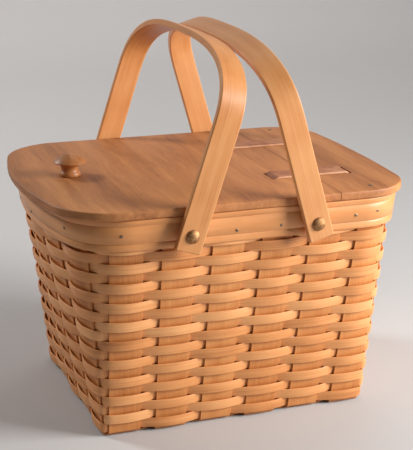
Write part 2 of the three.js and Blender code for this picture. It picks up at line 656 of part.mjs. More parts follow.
// Both handles lean inward until their top edges meet over the lid
const HANDLE_TOP = HANDLE_RISE + HANDLE_THICKNESS / 2;
const HANDLE_REACH = Math.hypot(HANDLE_TOP, HANDLE_WIDTH / 2);

function handleLean(pivot) {
  const across = Math.abs(HANDLE_MEETING_X - pivot) - HANDLE_TOP_GAP / 2;
  return Math.asin(across / HANDLE_REACH) - Math.atan2(HANDLE_WIDTH / 2, HANDLE_TOP);
}

for (const [name, pivot, way] of [['left_handle', pivotPlaces[0], 1], ['right_handle', pivotPlaces[1], -1]]) {
  const handle = addPiece(basket, name, handleGeometry(), HANDLE_WOOD);
  handle.position.set(pivot, 0, HANDLE_PIVOT_HEIGHT);
  handle.rotation.y = way * handleLean(pivot);
}

// Handle pivots: a headed rivet through handle, spacer and rim, closed over a burr inside.
// The long walls lean, so the spacer and the burr are cut to the slope of the bands.
function wallReach(z) {
  const share = (z - BASE_MIDDLE) / (RIM_HEIGHT - BASE_MIDDLE);
  return THREE.MathUtils.lerp(BASE_WIDTH / 2, RIM_HALF_WIDTH, share);
}

function slantedRing(outerRadius, insideAt, outsideAt) {
  const ring = new THREE.LatheGeometry([
    new THREE.Vector2(RIVET_HOLE_RADIUS, 0),
    new THREE.Vector2(outerRadius, 0),
    new THREE.Vector2(outerRadius, 1),
    new THREE.Vector2(RIVET_HOLE_RADIUS, 1),
    new THREE.Vector2(RIVET_HOLE_RADIUS, 0),
  ], ROUND_SIDES);
  const places = ring.attributes.position;
  for (let k = 0; k < places.count; k++) {
    const z = HANDLE_PIVOT_HEIGHT + places.getZ(k);
    places.setY(k, places.getY(k) > 0.5 ? outsideAt(z) : insideAt(z));
  }
  return ring;
}

function rivetGeometry() {
  const radius = RIVET_DIAMETER / 2;
  const headSeat = HANDLE_LEG_Y + HANDLE_THICKNESS / 2 + FIT_CLEARANCE;
  const headRadius = RIVET_HEAD_DIAMETER / 2;
  const lowestBurr = wallReach(HANDLE_PIVOT_HEIGHT) - INNER_BAND_INSIDE - FIT_CLEARANCE - BURR_THICKNESS;
  const profile = [
    new THREE.Vector2(0, lowestBurr - RIVET_TAIL),
    new THREE.Vector2(radius, lowestBurr - RIVET_TAIL),
    new THREE.Vector2(radius, headSeat),
  ];
  for (let step = 0; step <= DOME_STEPS; step++) {
    const angle = (step * Math.PI) / (2 * DOME_STEPS);
    const across = step === DOME_STEPS ? 0 : headRadius * Math.cos(angle);
    profile.push(new THREE.Vector2(across, headSeat + RIVET_HEAD_HEIGHT * Math.sin(angle)));
  }
  return new THREE.LatheGeometry(profile, ROUND_SIDES);
}

const spacerInside = (z) => wallReach(z) + OUTER_BAND_OUTSIDE + FIT_CLEARANCE;
const spacerOutside = () => HANDLE_LEG_Y - HANDLE_THICKNESS / 2 - FIT_CLEARANCE;
const burrOutside = (z) => wallReach(z) - INNER_BAND_INSIDE - FIT_CLEARANCE;
const burrInside = (z) => burrOutside(z) - BURR_THICKNESS;

for (const [sideName, pivot] of [['left', pivotPlaces[0]], ['right', pivotPlaces[1]]]) {
  for (const [faceName, turn] of [['front', Math.PI], ['back', 0]]) {
    const place = (geometry) => geometry.rotateZ(turn).translate(pivot, 0, HANDLE_PIVOT_HEIGHT);
    const spacer = slantedRing(SPACER_DIAMETER / 2, spacerInside, spacerOutside);
    const burr = slantedRing(BURR_DIAMETER / 2, burrInside, burrOutside);
    addPiece(basket, `handle_rivet_${sideName}_${faceName}`, place(rivetGeometry()), BRONZE);
    addPiece(basket, `handle_spacer_${sideName}_${faceName}`, place(spacer), RIM_WOOD);
    addPiece(basket, `rivet_burr_${sideName}_${faceName}`, place(burr), BRONZE);
  }
}

// The lid overhangs more at its lifting end, so the basket is moved to centre its overall length
basket.position.x = -(LID_LEFT + LID_RIGHT) / 2;

export default basket;
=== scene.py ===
import bisect
import json
import math
import random

import bmesh
import bpy
from mathutils import Matrix, Vector


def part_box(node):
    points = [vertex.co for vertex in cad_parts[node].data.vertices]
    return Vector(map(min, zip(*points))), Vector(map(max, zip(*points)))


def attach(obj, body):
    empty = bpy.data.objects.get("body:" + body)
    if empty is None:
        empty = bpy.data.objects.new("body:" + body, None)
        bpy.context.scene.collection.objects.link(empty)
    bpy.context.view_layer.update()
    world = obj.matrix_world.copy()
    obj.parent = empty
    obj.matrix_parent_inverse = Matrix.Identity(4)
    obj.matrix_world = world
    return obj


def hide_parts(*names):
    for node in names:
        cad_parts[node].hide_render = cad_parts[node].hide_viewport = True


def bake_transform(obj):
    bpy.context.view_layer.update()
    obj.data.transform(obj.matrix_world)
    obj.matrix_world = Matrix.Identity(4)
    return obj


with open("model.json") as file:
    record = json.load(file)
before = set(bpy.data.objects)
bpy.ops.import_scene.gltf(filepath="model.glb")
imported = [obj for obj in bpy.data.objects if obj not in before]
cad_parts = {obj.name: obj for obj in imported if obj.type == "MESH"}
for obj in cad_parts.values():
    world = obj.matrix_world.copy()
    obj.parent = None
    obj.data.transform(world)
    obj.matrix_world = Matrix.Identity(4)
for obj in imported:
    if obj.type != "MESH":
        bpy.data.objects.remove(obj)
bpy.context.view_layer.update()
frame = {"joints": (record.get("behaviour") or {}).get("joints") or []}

# The photographer's camera: a short telephoto a little above the basket,
# to the left of its front long side, almost level from side to side.
SENSOR_WIDTH_MM = 36.0
LENS_MM = 104.34
CAMERA_PLACE = (-0.42305, -1.1416, 0.5407)
HEADING_DEG = -20.896
LOOKS_DOWN_DEG = 17.264
ROLL_DEG = 0.813
scene = bpy.context.scene
scene.view_settings.view_transform = "Standard"
camera_data = bpy.data.cameras.new("photo_camera")
camera_data.sensor_width = SENSOR_WIDTH_MM
camera_data.lens = LENS_MM
camera = bpy.data.objects.new("photo_camera", camera_data)
heading = Matrix.Rotation(math.radians(HEADING_DEG), 4, "Z")
tilt = Matrix.Rotation(math.radians(90.0 - LOOKS_DOWN_DEG), 4, "X")
roll = Matrix.Rotation(math.radians(ROLL_DEG), 4, "Z")
camera.matrix_world = Matrix.Translation(CAMERA_PLACE) @ heading @ tilt @ roll
scene.collection.objects.link(camera)
scene.camera = camera

# The wall of the basket: wide maple splints stand round it, spread from a small square-cornered
# base to a larger rounded rim. Every woven piece below takes its place from this wall.
MM = 0.001
SPLINT_WIDTH = 30 * MM
SPLINT_THICKNESS = 1.6 * MM
LONG_SIDE_SPLINTS = 6
SHORT_SIDE_SPLINTS = 5
BASE_HALF_LENGTH = 130 * MM
BASE_HALF_WIDTH = 99 * MM
BASE_CORNER_RADIUS = 3.5 * MM
BASE_HEIGHT = 1.85 * MM
WALL_PROBE = 0.02
RIM_BAND_OUTSIDE = 5.8 * MM
RIM_CORNER_RADIUS = 44 * MM
RIM_HALF_LENGTH = 153.75 * MM
RIM_HALF_WIDTH = 131 * MM
LIFTING_END_BOW = 25 * MM
FIXED_END_BOW = 8 * MM
LONG_SIDE_SHIFT = 5 * MM
rim_low, rim_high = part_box("rim_outer_band")
RIM_SHIFT = 1.5 * MM
base_middle = 8.5 * MM
rim_middle = base_middle + RIM_SHIFT
WALL_HALF_LENGTH = RIM_HALF_LENGTH - RIM_BAND_OUTSIDE
WALL_HALF_WIDTH = RIM_HALF_WIDTH - RIM_BAND_OUTSIDE
WALL_RADIUS = RIM_CORNER_RADIUS - RIM_BAND_OUTSIDE
RIM_LINE_STEPS = 720
SPLINTS_ROUND = 2 * (LONG_SIDE_SPLINTS + SHORT_SIDE_SPLINTS)
QUARTER_SPLINTS = SPLINTS_ROUND / 4


def rounded_line_length(half_length, half_width, radius):
    """Length once round a rectangle with rounded corners."""
    return 4 * (half_length + half_width - 2 * radius) + 2 * math.pi * radius


def on_rounded_line(distance, half_length, half_width, radius):
    """Point on a rounded rectangle, measured anticlockwise from the middle of its front."""
    along, across = half_length - radius, half_width - radius
    arc = radius * math.pi / 2
    runs = [along, arc, 2 * across, arc, 2 * along, arc, 2 * across, arc, along]
    left = distance % sum(runs)
    heading = 0.0
    point = Vector((0.0, -half_width))
    for number, run in enumerate(runs):
        step = min(left, run)
        if number % 2 == 0:
            point += step * Vector((math.cos(heading), math.sin(heading)))
        else:
            turned = heading + step / radius
            shift_x = math.sin(turned) - math.sin(heading)
            shift_y = math.cos(heading) - math.cos(turned)
            point += radius * Vector((shift_x, shift_y))
            heading = turned
        left -= step
        if left <= 0:
            break
    return point


def bowed_end(point, half_width):
    """Moves a point of a rounded rectangle out to the bow of its end, most at the end's middle."""
    bow = -LIFTING_END_BOW if point.x < 0 else FIXED_END_BOW
    return Vector((point.x + bow * (1 - (point.y / half_width) ** 2), point.y))


straight_line = rounded_line_length(WALL_HALF_LENGTH, WALL_HALF_WIDTH, WALL_RADIUS)
rim_points = []
for k in range(RIM_LINE_STEPS + 1):
    reach = straight_line * k / RIM_LINE_STEPS
    spot = on_rounded_line(reach, WALL_HALF_LENGTH, WALL_HALF_WIDTH, WALL_RADIUS)
    rim_points.append(bowed_end(spot, WALL_HALF_WIDTH))
rim_points[-1] = rim_points[0]
rim_reached = [0.0]
for before, after in zip(rim_points, rim_points[1:]):
    rim_reached.append(rim_reached[-1] + (after - before).length)
RIM_LINE = rim_reached[-1]
RIM_START = (2 * rim_reached[RIM_LINE_STEPS // 2] - RIM_LINE) / 4


def on_rim_line(distance):
    """Point on the rim's bowed line, whose start is moved because its left half is longer."""
    reach = (RIM_START + distance) % RIM_LINE
    k = min(max(bisect.bisect_right(rim_reached, reach) - 1, 0), RIM_LINE_STEPS - 1)
    share = (reach - rim_reached[k]) / (rim_reached[k + 1] - rim_reached[k])
    return rim_points[k].lerp(rim_points[k + 1], share)


BASE_LINE = rounded_line_length(BASE_HALF_LENGTH, BASE_HALF_WIDTH, BASE_CORNER_RADIUS)
RIM_PITCH = RIM_LINE / SPLINTS_ROUND
LONG_PITCH = (2 * BASE_HALF_LENGTH - SPLINT_WIDTH - 2 * BASE_CORNER_RADIUS) / (LONG_SIDE_SPLINTS - 1)
SHORT_PITCH = (2 * BASE_HALF_WIDTH - SPLINT_WIDTH - 2 * BASE_CORNER_RADIUS) / (SHORT_SIDE_SPLINTS - 1)
SPLINT_EDGE = SPLINT_WIDTH / 2 / RIM_PITCH


def splint_side(number):
    """The side a splint stands on, 0 for the front, and its place from the middle of that side."""
    turn = number % SPLINTS_ROUND + 0.5
    for side in range(5):
        half = (LONG_SIDE_SPLINTS if side % 2 == 0 else SHORT_SIDE_SPLINTS) / 2
        if turn < side * QUARTER_SPLINTS + half:
            return side, turn - side * QUARTER_SPLINTS


def base_splint_middle(number):
    """Distance along the base line of a splint's middle; splint 0 is right of the front's middle."""
    side, from_middle = splint_side(number)
    pitch = LONG_PITCH if side % 2 == 0 else SHORT_PITCH
    return side * BASE_LINE / 4 + from_middle * pitch + BASE_LINE * math.floor(number / SPLINTS_ROUND)


def rim_splint_middle(number):
    """Distance along the rim line of a splint's middle; the long sides stand a little to the right."""
    side, _ = splint_side(number)
    shift = (LONG_SIDE_SHIFT, 0.0, -LONG_SIDE_SHIFT, 0.0, LONG_SIDE_SHIFT)[side]
    return (number + 0.5) * RIM_PITCH + shift


def wall_distance(turn, splint_middle):
    """Distance along a line for a place round the wall, counted in splints."""
    number = math.floor(turn)
    local = turn - number - 0.5
    half = SPLINT_WIDTH / 2
    if abs(local) <= SPLINT_EDGE:
        return splint_middle(number) + half * local / SPLINT_EDGE
    first = number if local > 0 else number - 1
    share = (turn - first - 0.5 - SPLINT_EDGE) / (1 - 2 * SPLINT_EDGE)
    start = splint_middle(first) + half
    end = splint_middle(first + 1) - half
    return start + share * (end - start)


wall_lines = {}


def wall_line(turn):
    """The wall's straight line at a place round it, as its points on the base and at the rim."""
    key = round(turn, 6)
    if key not in wall_lines:
        low = wall_distance(turn, base_splint_middle)
        foot = on_rounded_line(low, BASE_HALF_LENGTH, BASE_HALF_WIDTH, BASE_CORNER_RADIUS)
        head = on_rim_line(wall_distance(turn, rim_splint_middle))
        wall_lines[key] = (foot + Vector((base_middle, 0.0)), head + Vector((rim_middle, 0.0)))
    return wall_lines[key]


def on_wall(turn, height, outward):
    """Point on the wall at a place round it and a height, moved outward by a distance."""
    share = (height - BASE_HEIGHT) / (rim_high.z - BASE_HEIGHT)
    turns = (turn, turn - WALL_PROBE, turn + WALL_PROBE)
    middle, before, after = [foot.lerp(head, share) for foot, head in map(wall_line, turns)]
    along = (after - before).normalized()
    return Vector((middle.x + along.y * outward, middle.y - along.x * outward, height))


# The uprights: each splint is one long strip that comes down one side, turns under, crosses the
# base woven with the splints of the other direction, and goes up the far side into the rim.
UPRIGHT_TOP = rim_high.z - 0.7 * MM
UPRIGHT_WAVE = 0.45 * MM
BASE_LEVEL = 1.05 * MM
BEND_RADIUS = 2 * MM
FIRST_ROW = 4.4 * MM
ROW_PITCH = 9.35 * MM
WALL_STEPS = 76
BEND_STEPS = 5
BASE_STEPS = 90
UPRIGHT_ACROSS = 6
SPLINT_LENGTH = 660 * MM
SPLINT_EASE = 0.3 * MM
SPLINT_CLEAR = 1 * MM
SPLINT_SEED = 11
EASED_ABOVE_DEG = 50


def strip_mesh(name, length_steps, width_steps, place, closed=False):
    """A flat strip whose points are put in place by their step along it and their share across."""
    shape = bmesh.new()
    shape.loops.layers.uv.new("UVMap")
    bmesh.ops.create_grid(
        shape, x_segments=length_steps, y_segments=width_steps, size=0.5, calc_uvs=True,
    )
    for corner in shape.verts:
        corner.co = place((corner.co.x + 0.5) * length_steps, 2 * corner.co.y)
    if closed:
        bmesh.ops.remove_doubles(shape, verts=shape.verts, dist=0.01 * MM)
    mesh = bpy.data.meshes.new(name)
    shape.to_mesh(mesh)
    shape.free()
    piece = bpy.data.objects.new(name, mesh)
    scene.collection.objects.link(piece)
    mesh.polygons.foreach_set("use_smooth", [True] * len(mesh.polygons))
    return piece


def give_tone(piece, tone):
    """Writes one number on a piece, which its wood reads to shift its shade and its figure."""
    values = piece.data.attributes.new("strip_tone", "FLOAT", "POINT")
    values.data.foreach_set("value", [tone] * len(piece.data.vertices))


def thicken(piece, thickness, edge_radius, edge_steps=2):
    """Gives a flat strip its thickness, half to each side, and eases its long edges."""
    solid = piece.modifiers.new("thickness", "SOLIDIFY")
    solid.thickness = thickness
    solid.offset = 0.0
    edge = piece.modifiers.new("eased_edges", "BEVEL")
    edge.width = edge_radius
    edge.segments = edge_steps
    edge.limit_method = "ANGLE"
    edge.angle_limit = math.radians(EASED_ABOVE_DEG)
    edge.harden_normals = True


def new_finish(name):
    """A new material, with its nodes, its links and its shader."""
    finish = bpy.data.materials.new(name)
    finish.use_nodes = True
    nodes = finish.node_tree.nodes
    return finish, nodes, finish.node_tree.links, nodes["Principled BSDF"]


def add_node(nodes, kind, settings=(), **values):
    """A node with its settings and its named sockets filled in."""
    node = nodes.new(kind)
    for key, value in settings:
        setattr(node, key, value)
    for key, value in values.items():
        node.inputs[key.replace("_", " ")].default_value = value
    return node


def color_steps(ramp, steps):
    """Fills a colour ramp with colours at their places."""
    elements = ramp.color_ramp.elements
    while len(elements) < len(steps):
        elements.new(0.5)
    for element, (place, color) in zip(elements, steps):
        element.position = place
        element.color = (*color, 1.0)


def add_share(nodes, links, value, share, rest=None):
    """A share of one pattern, added to the rest of the mix."""
    mix = add_node(nodes, "ShaderNodeMath", [("operation", "MULTIPLY_ADD")])
    mix.inputs[1].default_value = share
    links.new(value, mix.inputs[0])
    if rest is not None:
        links.new(rest.outputs[0], mix.inputs[2])
    return mix


def strip_wood(name, length, width, dark, middle, light, roughness=0.42, fine=1.0):
    """Split or bent maple: fine fibres along the whole strip, with slow changes of shade."""
    finish, nodes, links, shader = new_finish(name)
    place = add_node(nodes, "ShaderNodeUVMap", [("uv_map", "UVMap")])
    tone = add_node(nodes, "ShaderNodeAttribute", [("attribute_name", "strip_tone")])
    shift = add_node(nodes, "ShaderNodeVectorMath", [("operation", "SCALE")], Scale=41.0)
    join = nodes.new("ShaderNodeCombineXYZ")
    size = add_node(nodes, "ShaderNodeVectorMath", [("operation", "MULTIPLY")])
    size.inputs[1].default_value = (length, width, 1.0)
    moved = add_node(nodes, "ShaderNodeVectorMath", [("operation", "ADD")])
    links.new(tone.outputs["Fac"], join.inputs["X"])
    links.new(tone.outputs["Fac"], join.inputs["Y"])
    links.new(join.outputs["Vector"], shift.inputs[0])
    links.new(place.outputs["UV"], size.inputs[0])
    links.new(size.outputs[0], moved.inputs[0])
    links.new(shift.outputs[0], moved.inputs[1])

    def fibres(along, across, detail, rough):
        stretch = add_node(nodes, "ShaderNodeMapping", Scale=(along, across, 1.0))
        noise = add_node(nodes, "ShaderNodeTexNoise", Scale=1.0, Detail=detail, Roughness=rough)
        links.new(moved.outputs[0], stretch.inputs["Vector"])
        links.new(stretch.outputs["Vector"], noise.inputs["Vector"])
        return noise.outputs["Fac"]

    streaks = fibres(9.0, 900.0 * fine, 4.0, 0.6)
    bands = fibres(5.0, 110.0 * fine, 3.0, 0.55)
    patches = fibres(22.0, 40.0, 2.0, 0.5)
    slow = add_share(nodes, links, patches, 0.35)
    slow.inputs[2].default_value = -0.075
    broad = add_share(nodes, links, bands, 0.35, slow)
    mixed = add_share(nodes, links, streaks, 0.45, broad)
    shade = add_share(nodes, links, tone.outputs["Fac"], 0.2, mixed)
    ramp = nodes.new("ShaderNodeValToRGB")
    color_steps(ramp, [(0.34, dark), (0.54, middle), (0.77, light)])
    links.new(shade.outputs[0], ramp.inputs["Fac"])
    links.new(ramp.outputs["Color"], shader.inputs["Base Color"])
    bump = add_node(nodes, "ShaderNodeBump", Strength=0.25, Distance=0.25 * MM)
    links.new(mixed.outputs[0], bump.inputs["Height"])
    links.new(bump.outputs["Normal"], shader.inputs["Normal"])
    gloss = add_node(nodes, "ShaderNodeMapRange", To_Min=roughness - 0.06, To_Max=roughness + 0.1)
    links.new(streaks, gloss.inputs["Value"])
    links.new(gloss.outputs["Result"], shader.inputs["Roughness"])
    return finish


def finish_piece(piece, finish, body, slot, *nodes):
    """Gives a piece its finish, the body that it moves with and the nodes that it stands for."""
    piece.data.materials.clear()
    piece.data.materials.append(finish)
    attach(piece, body)
    if nodes:
        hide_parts(*nodes)


splint_finish = strip_wood(
    "splint_wood", SPLINT_LENGTH, SPLINT_WIDTH,
    (0.42, 0.14, 0.033), (0.60, 0.222, 0.06), (0.73, 0.315, 0.10), 0.46,
)


def row_side(number, row):
    """Whether a row passes outside a splint, 1, or behind it, -1."""
    return 1 if (number + LONG_SIDE_SPLINTS // 2 + row) % 2 == 1 else -1


def upright_wave(number, height):
    """How far an upright gives way, out or in, to the weavers that pass it."""
    row = (height - FIRST_ROW) / ROW_PITCH - 0.5
    if row < -0.5 or height > rim_low.z:
        return 0.0
    return -UPRIGHT_WAVE * row_side(number, 0) * math.cos(math.pi * row)


def base_levels(crossings, starts_high):
    """Height of a splint along its base run: it lies over one crossing splint and under the next."""
    flat = SPLINT_WIDTH / 2 + SPLINT_CLEAR

    def level(distance):
        heights = [1 if (k % 2 == 0) == starts_high else -1 for k in range(len(crossings))]
        for k in range(len(crossings) - 1):
            start, end = crossings[k] + flat, crossings[k + 1] - flat
            if distance < end:
                share = min(max((distance - start) / (end - start), 0.0), 1.0)
                eased = share * share * (3 - 2 * share)
                return BASE_HEIGHT + BASE_LEVEL * (heights[k] + eased * (heights[k + 1] - heights[k]))
        return BASE_HEIGHT + BASE_LEVEL * heights[-1]

    return level


def splint_piece(name, first, last, run, across, reach, crossings, starts_high, tone):
    """One splint, from the head of its first upright under the base to the head of its last."""
    level = base_levels(crossings, starts_high)
    run_way = Vector((run[0], run[1], 0.0))
    side_way = Vector((run[1], -run[0], 0.0))
    inside = reach - BEND_RADIUS
    low_start, low_end = level(-inside), level(inside)
    total = 2 * WALL_STEPS + 2 * BEND_STEPS + BASE_STEPS

    def wall(number, share, low, way, width):
        foot = low + BEND_RADIUS
        height = foot + share * (UPRIGHT_TOP - foot)
        turn = number + 0.5 + way * SPLINT_EDGE * width
        return on_wall(turn, height, upright_wave(number, height))

    def bend(number, angle, low, way, width):
        centre = wall(number, 0.0, low, way, width) + way * run_way * BEND_RADIUS
        downward = Vector((0, 0, math.sin(angle)))
        return centre - BEND_RADIUS * (way * run_way * math.cos(angle) + downward)

    def place(step, width):
        if step <= WALL_STEPS:
            return wall(first, 1 - step / WALL_STEPS, low_start, 1, width)
        step -= WALL_STEPS
        if step <= BEND_STEPS:
            return bend(first, math.pi / 2 * step / BEND_STEPS, low_start, 1, width)
        step -= BEND_STEPS
        if step < BASE_STEPS:
            distance = -inside + 2 * inside * step / BASE_STEPS
            spot = run_way * distance + side_way * (width * SPLINT_WIDTH / 2)
            return spot + Vector((base_middle + across[0], across[1], level(distance)))
        step -= BASE_STEPS
        if step <= BEND_STEPS:
            return bend(last, math.pi / 2 * (1 - step / BEND_STEPS), low_end, -1, width)
        step -= BEND_STEPS
        return wall(last, step / WALL_STEPS, low_end, -1, width)

    piece = strip_mesh(name, total, UPRIGHT_ACROSS, place)
    give_tone(piece, tone)
    thicken(piece, SPLINT_THICKNESS, SPLINT_EASE)
    finish_piece(piece, splint_finish, "basket", "splint_wood", name.replace("woven_", ""))


def places_along(count, pitch):
    """Places of evenly spaced splints, from the middle of their side."""
    return [(k - (count - 1) / 2) * pitch for k in range(count)]


splint_chance = random.Random(SPLINT_SEED)
long_places = places_along(LONG_SIDE_SPLINTS, LONG_PITCH)
short_places = places_along(SHORT_SIDE_SPLINTS, SHORT_PITCH)
for k, x in enumerate(long_places):
    front = k - LONG_SIDE_SPLINTS // 2
    back = int(2 * QUARTER_SPLINTS - LONG_SIDE_SPLINTS / 2) + (LONG_SIDE_SPLINTS - 1 - k)
    splint_piece(
        f"woven_cross_splint_{k + 1}", front, back, (0, 1), (x, 0), BASE_HALF_WIDTH,
        short_places, k % 2 == 0, splint_chance.random(),
    )
for k, y in enumerate(short_places):
    left = int(3 * QUARTER_SPLINTS - SHORT_SIDE_SPLINTS / 2) + (SHORT_SIDE_SPLINTS - 1 - k)
    right = int(QUARTER_SPLINTS - SHORT_SIDE_SPLINTS / 2) + k
    splint_piece(
        f"woven_long_splint_{k + 1}", left, right, (1, 0), (0, y), BASE_HALF_LENGTH,
        long_places, k % 2 != 0, splint_chance.random(),
    )

# The weavers: narrow maple splints that go round the wall row by row, bowing out over one upright
# and in behind the next. The top row is cut narrow to fill the space under the rim.
WEAVER_WIDTH = 9.25 * MM
WEAVER_THICKNESS = 1.3 * MM
WEAVER_BOW = 3.5 * MM
WEAVER_CROWN = 0.3 * MM
WEAVER_SPARE = 0.3 * MM
WEAVER_DRIFT = 0.25 * MM
WEAVER_EASE = 0.35 * MM
WEAVER_STEPS = 14
WEAVER_ACROSS = 4
WEAVER_ROWS = 20
WEAVER_SEED = 5
weaver_finish = strip_wood(
    "weaver_wood", RIM_LINE, WEAVER_WIDTH,
    (0.47, 0.165, 0.043), (0.71, 0.292, 0.095), (0.85, 0.415, 0.165), 0.42,
)
weaver_chance = random.Random(WEAVER_SEED)


def weaver_piece(row):
    """One closed row, which bows a little more or less and drifts up or down at each upright."""
    node = f"weaver_row_{row + 1:02d}"
    low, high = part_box(node)
    middle = (low.z + high.z) / 2
    width = min(WEAVER_WIDTH, high.z - low.z + WEAVER_SPARE)
    bows = [WEAVER_BOW * weaver_chance.uniform(0.9, 1.1) for _ in range(SPLINTS_ROUND)]
    lifts = [weaver_chance.uniform(-1, 1) * WEAVER_DRIFT for _ in range(SPLINTS_ROUND)]
    start = -LONG_SIDE_SPLINTS / 2

    def place(step, across):
        turn = start + step / WEAVER_STEPS
        number = math.floor(turn)
        spot = number % SPLINTS_ROUND
        local = turn - number
        swing = math.sin(math.pi * local)
        bow = row_side(number, row) * bows[spot] * swing
        lift = lifts[spot] * swing * swing
        crown = WEAVER_CROWN * (1 - across * across)
        return on_wall(turn, middle + lift + across * width / 2, bow + crown)

    steps = WEAVER_STEPS * SPLINTS_ROUND
    piece = strip_mesh(f"woven_{node}", steps, WEAVER_ACROSS, place, closed=True)
    give_tone(piece, weaver_chance.random())
    thicken(piece, WEAVER_THICKNESS, WEAVER_EASE)
    finish_piece(piece, weaver_finish, "basket", "weaver_wood", node)


for row in range(WEAVER_ROWS):
    weaver_piece(row)

# The rim: two steamed maple bands clamp the tops of the uprights between them. The outer one
# has two shallow grooves run along it.
INNER_BAND_INSIDE = 7.8 * MM
BAND_GAP = 1.3 * MM
BAND_EDGE = 1.3 * MM
GROOVE_DEPTH = 0.4 * MM
GROOVE_HALF = 0.5 * MM
GROOVE_SHARES = (0.19, 0.76)
GROOVE_STEPS = 4
BAND_GIRTH = 60 * MM
RIM_STEPS = 12
rim_finish = strip_wood(
    "rim_wood", RIM_LINE, BAND_GIRTH,
    (0.45, 0.152, 0.037), (0.65, 0.262, 0.083), (0.78, 0.36, 0.137), 0.38, fine=0.8,
)


def eased_corner(outward, height, turn, radius, steps=4):
    """Points of a quarter round, given the square corner that it eases and the way it faces."""
    centre_out = outward - math.copysign(radius, math.cos(turn + math.pi / 4))
    centre_up = height - math.copysign(radius, math.sin(turn + math.pi / 4))
    angles = [turn + math.pi / 2 * k / steps for k in range(steps + 1)]
    ways = [(math.cos(angle), math.sin(angle)) for angle in angles]
    return [(centre_out + radius * out, centre_up + radius * up) for out, up in ways]


def band_profile(inside, outside, low, high, grooves):
    """The closed section of a band, with eased edges and its grooves on the outside."""
    profile = eased_corner(outside, low, -math.pi / 2, BAND_EDGE)
    for share in sorted(grooves, reverse=True):
        level = high - share * (high - low)
        for k in range(GROOVE_STEPS + 1):
            place = k / GROOVE_STEPS - 0.5
            depth = GROOVE_DEPTH * math.cos(math.pi * place)
            profile.append((outside - depth, level + 2 * GROOVE_HALF * place))
    profile += eased_corner(outside, high, 0.0, BAND_EDGE)
    profile += eased_corner(inside, high, math.pi / 2, BAND_EDGE)
    profile += eased_corner(inside, low, math.pi, BAND_EDGE)
    profile.append(profile[0])
    return profile


def band_piece(name, node, inside, outside, grooves, tone):
    """A closed band that follows the heads of the uprights."""
    profile = band_profile(inside, outside, rim_low.z, rim_high.z, grooves)
    across = len(profile) - 1

    def place(step, width):
        outward, height = profile[round((width + 1) / 2 * across)]
        return on_wall(SPLINTS_ROUND / 2 + step / RIM_STEPS, height, outward)

    piece = strip_mesh(name, RIM_STEPS * SPLINTS_ROUND, across, place, closed=True)
    give_tone(piece, tone)
    finish_piece(piece, rim_finish, "basket", "rim_wood", node)


band_piece("rim_outer_hoop", "rim_outer_band", BAND_GAP, RIM_BAND_OUTSIDE, GROOVE_SHARES, tone=0.5)
band_piece("rim_inner_hoop", "rim_inner_band", -INNER_BAND_INSIDE, -BAND_GAP, (), tone=0.35)

# Small round steel tacks hold the outer band to the uprights. They were driven by hand, so they
# are unevenly spaced: each is given by its place along its side and its drop from the top, in mm.
TACK_RADIUS = 1.5 * MM
TACK_HEIGHT = 0.5 * MM
TACK_DEPTH = 1.5 * MM
TACK_SIDES = 12
TURNS_TRIED = 20
CREASE_DEG = 40
FRONT_TACKS = ((-121.5, 13.9), (-15.3, 18.2), (27.6, 17.5), (100, 15), (124.4, 13))
LEFT_TACKS = ((-94, 13), (-15.5, 18.5), (40, 20))


def metal(name, dark, light, roughness, scale):
    """Aged metal: mottled between two shades, rougher where it is darker."""
    finish, nodes, links, shader = new_finish(name)
    shader.inputs["Metallic"].default_value = 1.0
    place = nodes.new("ShaderNodeTexCoord")
    noise = add_node(nodes, "ShaderNodeTexNoise", Scale=scale, Detail=5.0, Roughness=0.65)
    links.new(place.outputs["Object"], noise.inputs["Vector"])
    ramp = nodes.new("ShaderNodeValToRGB")
    color_steps(ramp, [(0.38, dark), (0.62, light)])
    links.new(noise.outputs["Fac"], ramp.inputs["Fac"])
    links.new(ramp.outputs["Color"], shader.inputs["Base Color"])
    gloss = add_node(nodes, "ShaderNodeMapRange", To_Min=roughness + 0.15, To_Max=roughness - 0.1)
    links.new(noise.outputs["Fac"], gloss.inputs["Value"])
    links.new(gloss.outputs["Result"], shader.inputs["Roughness"])
    bump = add_node(nodes, "ShaderNodeBump", Strength=0.3, Distance=0.15 * MM)
    links.new(noise.outputs["Fac"], bump.inputs["Height"])
    links.new(bump.outputs["Normal"], shader.inputs["Normal"])
    return finish


tack_finish = metal("tack_steel", (0.15, 0.09, 0.055), (0.40, 0.29, 0.20), roughness=0.42, scale=900.0)


def frame_at(point, outward):
    """Turn and place that carry +Z to a direction and the origin to a point."""
    turn = Vector((0, 0, 1)).rotation_difference(outward.normalized()).to_matrix().to_4x4()
    return Matrix.Translation(point) @ turn


def add_turned(shape, profile, place, sides):
    """Spins a profile of radius and height round its axis into a closed turned piece."""
    corners = [shape.verts.new((radius, 0.0, height)) for radius, height in profile]
    edges = [shape.edges.new(pair) for pair in zip(corners, corners[1:])]
    bmesh.ops.spin(
        shape, geom=corners + edges, axis=(0, 0, 1), cent=(0, 0, 0), dvec=(0, 0, 0),
        angle=2 * math.pi, steps=sides, use_merge=True, use_duplicate=False,
    )
    new = [corner for corner in shape.verts if not corner.tag]
    bmesh.ops.transform(shape, matrix=place, verts=new)
    bmesh.ops.remove_doubles(shape, verts=new, dist=0.005 * MM)
    for corner in shape.verts:
        corner.tag = True


def mesh_piece(name, shape, crease_deg=CREASE_DEG):
    """An object from a finished shape, smooth but for edges sharper than the crease."""
    bmesh.ops.recalc_face_normals(shape, faces=shape.faces)
    mesh = bpy.data.meshes.new(name)
    shape.to_mesh(mesh)
    shape.free()
    mesh.polygons.foreach_set("use_smooth", [True] * len(mesh.polygons))
    mesh.set_sharp_from_angle(angle=math.radians(crease_deg))
    piece = bpy.data.objects.new(name, mesh)
    scene.collection.objects.link(piece)
    return piece


